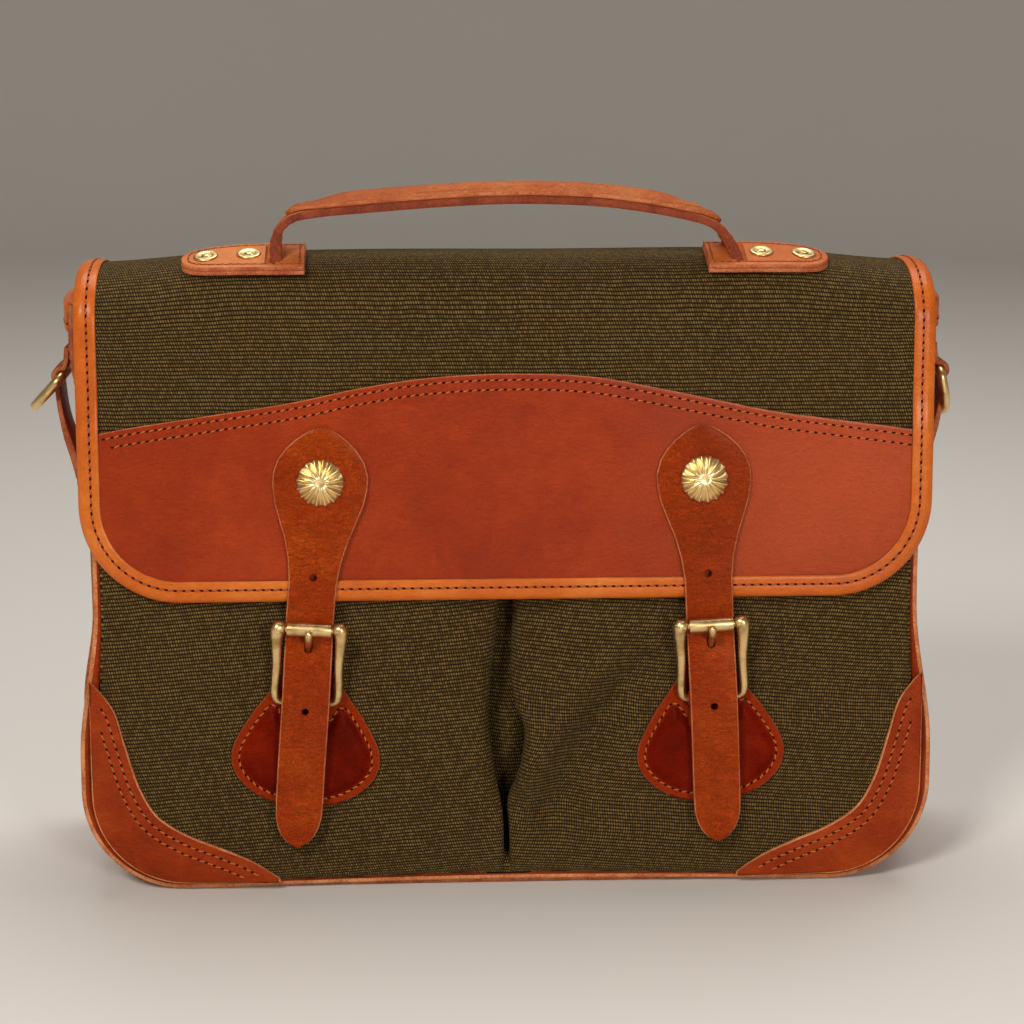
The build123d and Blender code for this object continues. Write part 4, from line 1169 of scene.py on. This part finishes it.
def mark_raised(obj, ring):
    """Store on each vertex how far inside the stitch line it is, for the darker raised centre."""
    mesh = obj.data
    uv = np.empty(len(mesh.loops) * 2)
    mesh.uv_layers["UVMap"].data.foreach_get("uv", uv)
    loops = np.empty(len(mesh.loops), int)
    mesh.loops.foreach_get("vertex_index", loops)
    value = np.zeros(len(mesh.vertices))
    value[loops] = smooth(distance(uv.reshape(-1, 2), ring), -0.3, 0.9)
    mesh.attributes.new("raised", "FLOAT", "POINT").data.foreach_set("value", value)


def tab(side, chart):
    """Teardrop leather with a raised, stitched centre, folded round the buckle's bar."""
    ring = tab_outline()
    centre = np.array([0, 64.0])
    k = np.concatenate([[0.01], np.linspace(0.06, 0.95, 30), [0.98, 1.0]])[None, :, None]
    grid = centre + (ring[:, None] - centre) * k
    top = tab_height(grid[..., 0], grid[..., 1])
    leaf = shell("leaf", chart, grid[..., 0], grid[..., 1], top, top - 0.3, [TAB, RAW_DARK], 0.55, wrap=True)
    mark_raised(leaf, heart())
    # Fold round the bar: two ears with the prong's slot between them.
    ears = []
    for ear in (-1, 1):
        x = np.array([ear * 2.2, ear * 2.6, ear * 5.5, ear * 9.0, ear * 9.5])
        pull = np.array([0.25, 0.05, 0.0, 0.05, 0.3])
        a = np.radians(np.linspace(-100, 190, 26))
        outer = [(2.3, 72), (3.9, 78), *[(5.2 + 3.3 * math.cos(t), 89 + 3.3 * math.sin(t)) for t in a],
                 (0.6, 80), (0.5, 72)]
        rings = []
        for xx, q in zip(x, pull):
            rings.append(chart(xx, np.array([max(p[0] - q, 0.4) for p in outer]),
                               np.array([p[1] - q * 0.3 for p in outer])))
        ears.append(loft("ear", np.array(rings), [TAB]))
    whole = join(f"buckle_tab_leather_{side}", [leaf, *ears])
    put(whole, "bag_body", "panel_leather", f"buckle_tab_{side}")
    line = heart(0.2)
    line = np.concatenate([line, line[:1]])
    row = seam(f"buckle_tab_stitching_{side}", chart, line, tab_height, pitch=3.7, slant=14,
               length=2.7, width=0.75, height=0.32, hole=0.75)
    put(row, "bag_body", "panel_leather")


def buckle(side, chart):
    """Cast roller buckle: heavy upper corners, waisted sides, bar below."""
    half = [(12.9, 12.1, 124.2, 2.9), (13.8, 12.1, 124.2, 3.25), (14.3, 11.7, 121.4, 3.0),
            (14.3, 10.6, 116, 2.35),
            (13.9, 8.8, 107, 2.0), (14.1, 7.0, 98, 2.1), (14.0, 5.9, 92.4, 2.1), (13.1, 5.4, 90.0, 1.9),
            (11.2, 5.2, 89.0, 1.6), (9.6, 5.2, 89.0, 1.6), (5, 5.2, 89.0, 1.6), (0, 5.2, 89, 1.6)]
    half = np.array(half)
    whole = np.concatenate([half, (half * [-1, 1, 1, 1])[::-1][1:]])
    dense = spline(whole, 130)
    loop = tube("frame", chart(dense[:, 0], dense[:, 1], dense[:, 2]), dense[:, 3], [BRASS], 22)
    pin = tube("pin", chart(np.linspace(-12.6, 12.6, 8), 12.1, 123.8), np.full(8, 1.5), [BRASS], 16)
    put(join(f"buckle_casting_{side}", [loop, pin]), f"buckle_frame_{side}", "brass", f"buckle_frame_{side}")
    a = np.radians(np.arange(0, 360, 10))
    profile = [(-9.75, 1.6), (-9.9, 2.1), (-9.9, 2.55), (-9.75, 2.75), (-9.5, 2.8), (-5, 2.8), (0, 2.8),
               (5, 2.8),
               (9.5, 2.8), (9.75, 2.75), (9.9, 2.55), (9.9, 2.1), (9.75, 1.6)]
    rings = np.array([chart(x, 12.1 + 1.12 * r * np.cos(a), 123.8 + 1.12 * r * np.sin(a)) for x,
                      r in profile])
    put(loft(f"buckle_roller_sleeve_{side}", rings, [BRASS]), f"buckle_roller_{side}", "brass",
        f"buckle_roller_{side}")
    line = spline([(5.2, 91.6, 1.25), (5.0, 100, 1.3), (5.2, 108, 1.3), (6.4, 112.2, 1.35), (9.4, 115.4, 1.4),
                   (13.3, 118.4, 1.5), (15.6, 120.3, 1.65), (16.5, 121.7, 1.75), (16.8, 122.6, 1.75)], 50)
    shank = tube("shank", chart(0, line[:, 0], line[:, 1]), line[:, 2], [BRASS], 16)
    b = np.radians(np.arange(0, 360, 12))
    eye = np.stack([chart(1.6 * x, 5.2 + r * np.cos(b), 89 + r * np.sin(b))
                    for x, r in ((-1, 1.72), (-1, 2.7), (-0.8, 3.0), (0.8, 3.0), (1, 2.7), (1, 1.72),
                                 (-1, 1.72))])
    eye_ids = np.arange(7 * 30).reshape(7, 30)
    faces = [(eye_ids[i, j], eye_ids[i + 1, j], eye_ids[i + 1, (j + 1) % 30], eye_ids[i, (j + 1) % 30])
             for i in range(6) for j in range(30)]
    eye = mesh_object("eye", eye.reshape(-1, 3), faces, [BRASS])
    fix_normals(eye)
    put(join(f"buckle_tongue_{side}", [shank, eye]), f"buckle_prong_{side}", "brass", f"buckle_prong_{side}")


# ---------------------------------------------------------------- handle
def plate_chart():
    first = on_front(0, -SHOULDER_R, SHOULDER_LOW)[1:]
    reach = SHOULDER_R + 3.7
    oy, oz = first[0] - reach * math.sin(SLOPE), first[1] + reach * math.cos(SLOPE)

    def chart(x, n, w):
        x, n, w = np.broadcast_arrays(x, n, w)
        y = oy + w * math.cos(SLOPE) - n * math.sin(SLOPE)
        z = oz + w * math.sin(SLOPE) + n * math.cos(SLOPE)
        return np.stack([x, y, z + droop(x, S_PLATE)], -1).astype(float)
    return chart


HANDLE_LINE = [(-101.5, 276.5), (-101.8, 281), (-102.0, 287), (-101.9, 293.2), (-100.0, 299.2),
               (-94.3, 304.0),
               (-84, 306.2), (-62, 308.2), (-40, 309.9), (-15, 311.4), (5, 311.9), (25, 311.5),
               (45, 310.2), (65, 307.4),
               (80, 304.4), (88, 302.2), (94.5, 298.6), (99.2, 292.4), (102.3, 285.8), (104.4, 280.0),
               (105.4, 276.5)]


LEG = 103.3


def make_handle():
    chart = plate_chart()
    for side, sign in SIDES:
        # Two layers of leather plate, the outer end narrower and round.
        x_in, x_out = 89.3, 143.8
        top = [(x_in, 13.2), (102, 13.3), (116, 12.9), (127, 12.0), (134, 10.9), (139.5, 8.6), (142.8, 4.9),
               (x_out, 0)]
        half = np.array([(x_in, 13.2), *spline(top, 60)[1:]])
        layers = []
        for name, n, mats, grow in (("low", 2.0, [PLATE, RAW], 0.35), ("high", 3.9, [PLATE, RAW], 0.0)):
            v = np.linspace(-1, 1, 21)[None, :]
            u = half[:, :1] + grow * np.sign(half[:, :1] - 116) * 0.6
            w = (half[:, 1:] + grow) * v
            sag = -0.5 * np.abs(v) ** 3
            layers.append(shell(name + side, chart, sign * (u + 0 * w), w, n + sag, 1.8, mats, 0.5))
        ring = np.array([(LEG + 3.4, 9.5), (LEG + 3.4, -9.5), (LEG - 1.2, -9.5), (LEG - 1.2, 9.5)])
        cutter = loft("cutter", np.stack([chart(sign * ring[:, 0], 2.6, ring[:, 1]),
                                          chart(sign * ring[:, 0], 9.0, ring[:, 1])]), [HOLE_SHADE])
        layers[1] = cut(layers[1], [cutter])
        put(layers[1], "flap", "handle_leather", f"handle_plate_{side}").name = f"handle_plate_leather_{side}"
        put(layers[0], "flap", "handle_leather", f"handle_root_{side}").name = f"handle_root_leather_{side}"
        line = inset(np.concatenate([half, (half * [1, -1])[::-1][1:]]), 2.9)
        line[:, 0] *= sign
        row = seam(f"handle_plate_stitching_{side}", chart, np.concatenate([line, line[:1]]),
                   lambda p, q: 3.9 - 0.5 * np.abs(q / 13.0) ** 3, pitch=3.6, length=2.6, width=0.75,
                   height=0.3,
                   hole=0.5, mats=[THREAD_DARK, HOLE_SHADE])
        put(row, "flap", "handle_leather")
        # Peened rivets over dished burrs.
        studs = []
        for x in (114.0, 133.0):
            profile = [(0.01, 5.85), (1.0, 5.8), (1.75, 5.55), (2.0, 5.2), (2.25, 5.1), (3.0, 5.45),
                       (4.4, 5.65),
                       (5.1, 5.55), (5.4, 5.2), (5.4, 4.7), (4.6, 4.5), (1.9, 4.45), (1.9, -3.4), (4.3, -3.5),
                       (4.3, -4.1), (3.2, -4.6), (0.01, -4.7)]
            a = np.radians(np.arange(0, 360, 10))
            rings = np.array([chart(sign * x + r * np.cos(a), h - 0.8, r * np.sin(a)) for r, h in profile])
            studs.append(loft("stud", rings, [BRASS]))
        put(join(f"rivet_faces_{side}", studs), "flap", "brass")
        # Leather backing inside the flap.
        a = np.linspace(84.5, 149.5, 24)[:, None]
        b = np.linspace(S_PLATE - 17, S_PLATE + 21, 16)[None, :]
        back = shell(f"handle_backing_leather_{side}", over, sign * (a + 0 * b), b + 0 * a, 0.95, 1.3,
                     [GUSSET, RAW], 0.4)
        put(back, "flap", "handle_leather", f"handle_backing_{side}")
    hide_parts("rivet_burrs", "handle_rivets")

    line = spline(HANDLE_LINE, 240)
    out = left_of(line)
    y0 = ROCK[1] / MM

    # Lower strap: arch and both legs in one piece.
    w = np.linspace(-1, 1, 15)
    foot = smooth(line[:, 1], 277, 284)
    creases = 0.16 * np.sin(np.arange(len(line)) * 1.55) * (1 - smooth(np.minimum(
        np.abs(line[:, 0] + 101), np.abs(line[:, 0] - 100)), 5, 14))
    rings = []
    for i in range(len(line)):
        half_w = 9.0 - 0.9 * (1 - foot[i])
        section = [(half_w, 1.2), (half_w - 0.25, 1.55), *[(x * (half_w - 0.6), 1.8 + 0.1 * (1 - x * x))
                                                           for x in w[::-1]], (-half_w + 0.25, 1.55),
                   (-half_w, 1.2), (-half_w, -1.2), (-half_w + 0.25, -1.55),
                   *[(x * (half_w - 0.6), -1.8) for x in w], (half_w - 0.25, -1.55), (half_w, -1.2)]
        section = np.array(section)
        section[:, 1] *= 1 + 0.4 * (1 - smooth(line[i, 1], 288, 302))
        section[:, 1] += creases[i] * np.sign(section[:, 1])
        pts = line[i] + out[i] * section[:, 1:]
        rings.append(np.stack([pts[:, 0], y0 + section[:, 0], pts[:, 1]], -1))
    strap = loft("handle_strap_leather", np.array(rings), [HANDLE, RAW_DARK])
    show_cut_sides(strap, 0.75)
    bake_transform(strap)
    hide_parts("handle_strap")

    # Overlay: tapered ends, domed middle, thick cut edges.
    inner = np.where((line[:, 0] > -96.5) & (line[:, 0] < 94.5))[0]
    d = lengths(line[inner])
    end = np.minimum(d, d[-1] - d)
    rings = []
    for i, e in zip(inner, end):
        half_w = 4.2 + 5.3 * smooth(e, 0, 17) - 2.6 * (1 - smooth(e, 0, 2.2))
        dome = 3.2 * smooth(e, 6, 30)
        base = 1.95
        edge = 2.5 - 0.9 * (1 - smooth(e, 0, 3))
        top = []
        for x in np.linspace(1, -1, 23):
            crown = dome * max(0.0, 1 - abs(x * half_w / 7.4) ** 2.4) ** 0.9
            groove = -0.22 * math.exp(-((abs(x) * half_w - (half_w - 2.6)) / 0.7) ** 2)
            top.append((x * (half_w - 0.5), base + edge + crown + groove))
        section = [(half_w, base + 0.5), (half_w, base + edge - 0.6), *top, (-half_w, base + edge - 0.6),
                   (-half_w, base + 0.5), (-half_w + 0.4, base), *[(x * (half_w - 1.2), base) for x in w],
                   (half_w - 0.4, base)]
        section = np.array(section)
        pts = line[i] + out[i] * section[:, 1:]
        rings.append(np.stack([pts[:, 0], y0 + section[:, 0], pts[:, 1]], -1))
    cover = loft("handle_overlay_leather", np.array(rings), [HANDLE, RAW])
    show_cut_sides(cover, 0.8)
    put(cover, "handle", "handle_leather", "handle_overlay")
    paint("handle_filler", HANDLE)

    def grip(a, n, b):
        """a along the overlay, b across, n above the strap's middle."""
        a, n, b = np.broadcast_arrays(a, n, b)
        px = np.interp(a, d, line[inner][:, 0])
        pz = np.interp(a, d, line[inner][:, 1])
        ox, oz = np.interp(a, d, out[inner][:, 0]), np.interp(a, d, out[inner][:, 1])
        return np.stack([px + ox * n, y0 + b, pz + oz * n], -1).astype(float)

    rows = []
    for s in (-1, 1):
        a = np.linspace(3.5, d[-1] - 3.5, 160)
        e = np.minimum(a, d[-1] - a)
        b = s * (4.2 + 5.3 * smooth(e, 0, 17) - 2.6)
        rows.append(seam(f"grip{s}", grip, np.stack([a, b], -1), 1.95 + 2.35, pitch=3.8, length=2.5,
                         width=0.7,
                         height=0.32, slant=6, hole=0.45, mats=[THREAD_DARK, HOLE_SHADE]))
    put(join("handle_stitching", rows), "handle", "handle_leather")


# ---------------------------------------------------------------- rings
def make_rings():
    for side, sign in SIDES:
        tab_points = [(199.6, 242), (199.8, 239), (200.2, 236.2), (201.0, 233.6),
                      *[(202.2 + 3.7 * math.cos(math.radians(q)), 229 + 3.7 * math.sin(math.radians(q)))
                        for q in (105, 75, 45, 15, -15, -45)],
                      (204.4, 222.5), (203.6, 214), (202.0, 205), (199.6, 196), (197.4, 188), (195.9, 181),
                      (195.2, 176), (194.8, 172)]
        line = spline(tab_points, 90)
        out = left_of(line)
        thick = 1.2 + 0.5 * smooth(np.arange(90), 40, 60) - 0.9 * smooth(np.arange(90), 74, 89)
        rings = []
        for k in range(90):
            half_w, h = 10.5, thick[k]
            section = [(half_w, -h + 0.3), (half_w, h - 0.3), (half_w - 0.3, h), (5, h + 0.05), (0, h + 0.08),
                       (-5, h + 0.05), (-half_w + 0.3, h), (-half_w, h - 0.3), (-half_w, -h + 0.3),
                       (-half_w + 0.3, -h), (0, -h), (half_w - 0.3, -h)]
            section = np.array(section)
            pts = line[k] + out[k] * section[:, 1:]
            rings.append(np.stack([sign * pts[:, 0], 14 + section[:, 0], pts[:, 1]], -1))
        strip = loft(f"d_ring_tab_leather_{side}", np.array(rings), [GUSSET, RAW])
        show_cut_sides(strip, 0.75)
        put(strip, "bag_body", "panel_leather", f"d_ring_tab_{side}")
        paint(f"d_ring_{side}", BRASS)
        path = line[48:88]
        long = lengths(path)

        def chart(a, n, b, sign=sign, path=path, long=long, out=out[48:88]):
            a, n, b = np.broadcast_arrays(a, n, b)
            x = np.interp(b, long, path[:, 0]) + np.interp(b, long, out[:, 0]) * n
            z = np.interp(b, long, path[:, 1]) + np.interp(b, long, out[:, 1]) * n
            return np.stack([sign * x, 14 + a, z], -1).astype(float)
        rows = []
        for s in (-7.4, 7.4):
            pts = np.stack([np.full(60, s), np.linspace(4, long[-1] - 3, 60)], -1)
            rows.append(seam(f"dr{s}", chart, pts, 1.8, pitch=3.6, length=2.5, width=0.7, height=0.3, slant=8,
                             hole=0.5))
        put(join(f"d_ring_tab_stitching_{side}", rows), "bag_body", "panel_leather")


make_flap()
make_binding()
make_pockets()
make_patches()
make_welts()
make_gussets()
make_inside()
make_straps()
make_handle()
make_rings()


# ---------------------------------------------------------------- studio
def plain_material(name, colour, rough):
    n = Nodes(name)
    at = n.add("TexCoord", out=3)
    soft = n.noise(at, 3.0, 2.0)
    lighter = tuple(min(1.0, c * 1.02) for c in colour)
    return n.finish(Base_Color=n.mix(soft, colour, lighter), Roughness=rough, Specular_IOR_Level=0.3)


def make_stage():
    """Pale floor that curves up into a wall all round."""
    profile = [(0.0, 0.0), (0.6, 0.0), (1.4, 0.0), (2.4, 0.0)]
    profile += [(2.4 + 0.9 * math.sin(a), 0.9 - 0.9 * math.cos(a)) for a in np.radians(np.arange(9, 91, 9))]
    profile += [(3.3, 3.4)]
    around = np.radians(np.arange(0, 360, 6))
    verts = [(r / MM * math.cos(a), r / MM * math.sin(a), z / MM - 0.05) for r,
             z in profile[1:] for a in around]
    m = len(around)
    faces = [tuple(range(m))]
    for i in range(len(profile) - 2):
        faces += [(i * m + j, (i + 1) * m + j, (i + 1) * m + (j + 1) % m,
                   i * m + (j + 1) % m) for j in range(m)]
    floor = mesh_object("studio_floor", verts, faces, [plain_material("studio", (0.72, 0.685, 0.64), 0.6)])


def light(name, at, aim, size, power, colour):
    data = bpy.data.lights.new(name, "AREA")
    data.energy, data.color, data.shape = power, colour, "RECTANGLE"
    data.size, data.size_y = size
    obj = bpy.data.objects.new(name, data)
    bpy.context.scene.collection.objects.link(obj)
    obj.location = at
    obj.rotation_euler = (Vector(aim) - Vector(at)).to_track_quat("-Z", "Y").to_euler()


make_stage()
light("key", (-0.85, -1.6, 1.55), (0, 0, 0.14), (0.5, 0.6), 27, (1.0, 0.96, 0.9))
light("sheen", (0.52, -1.5, 0.55), (0.05, 0, 0.18), (0.32, 0.4), 8.5, (1.0, 0.97, 0.93))
light("top", (0.1, 0.5, 1.7), (0, 0, 0.2), (1.4, 1.0), 18, (1.0, 0.98, 0.96))
world = bpy.data.worlds.new("studio_world")
world.use_nodes = True
world.node_tree.nodes["Background"].inputs[0].default_value = (1.0, 0.96, 0.92, 1)
world.node_tree.nodes["Background"].inputs[1].default_value = 0.085
bpy.context.scene.world = world

PITCH, YAW, FOCAL_PX = math.radians(13.0), math.radians(-2.5), 2400.0
BASE, BASE_PX, DISTANCE = np.array([0.0, -0.050, 0.0]), (509.0, 884.0), 1.105
ahead = np.array([-math.sin(YAW) * math.cos(PITCH), math.cos(YAW) * math.cos(PITCH), -math.sin(PITCH)])
right = np.array([math.cos(YAW), math.sin(YAW), 0.0])
upwards = np.cross(right, ahead)
ray = ahead + (BASE_PX[0] - 512) / FOCAL_PX * right - (BASE_PX[1] - 512) / FOCAL_PX * upwards
camera = bpy.data.objects.new("camera", bpy.data.cameras.new("camera"))
bpy.context.scene.collection.objects.link(camera)
camera.location = BASE - ray * DISTANCE
camera.rotation_euler = (math.pi / 2 - PITCH, 0, YAW)
camera.data.sensor_width = 36.0
camera.data.lens = FOCAL_PX / 1024 * 36.0
bpy.context.scene.camera = camera
bpy.context.scene.view_settings.view_transform = "Standard"
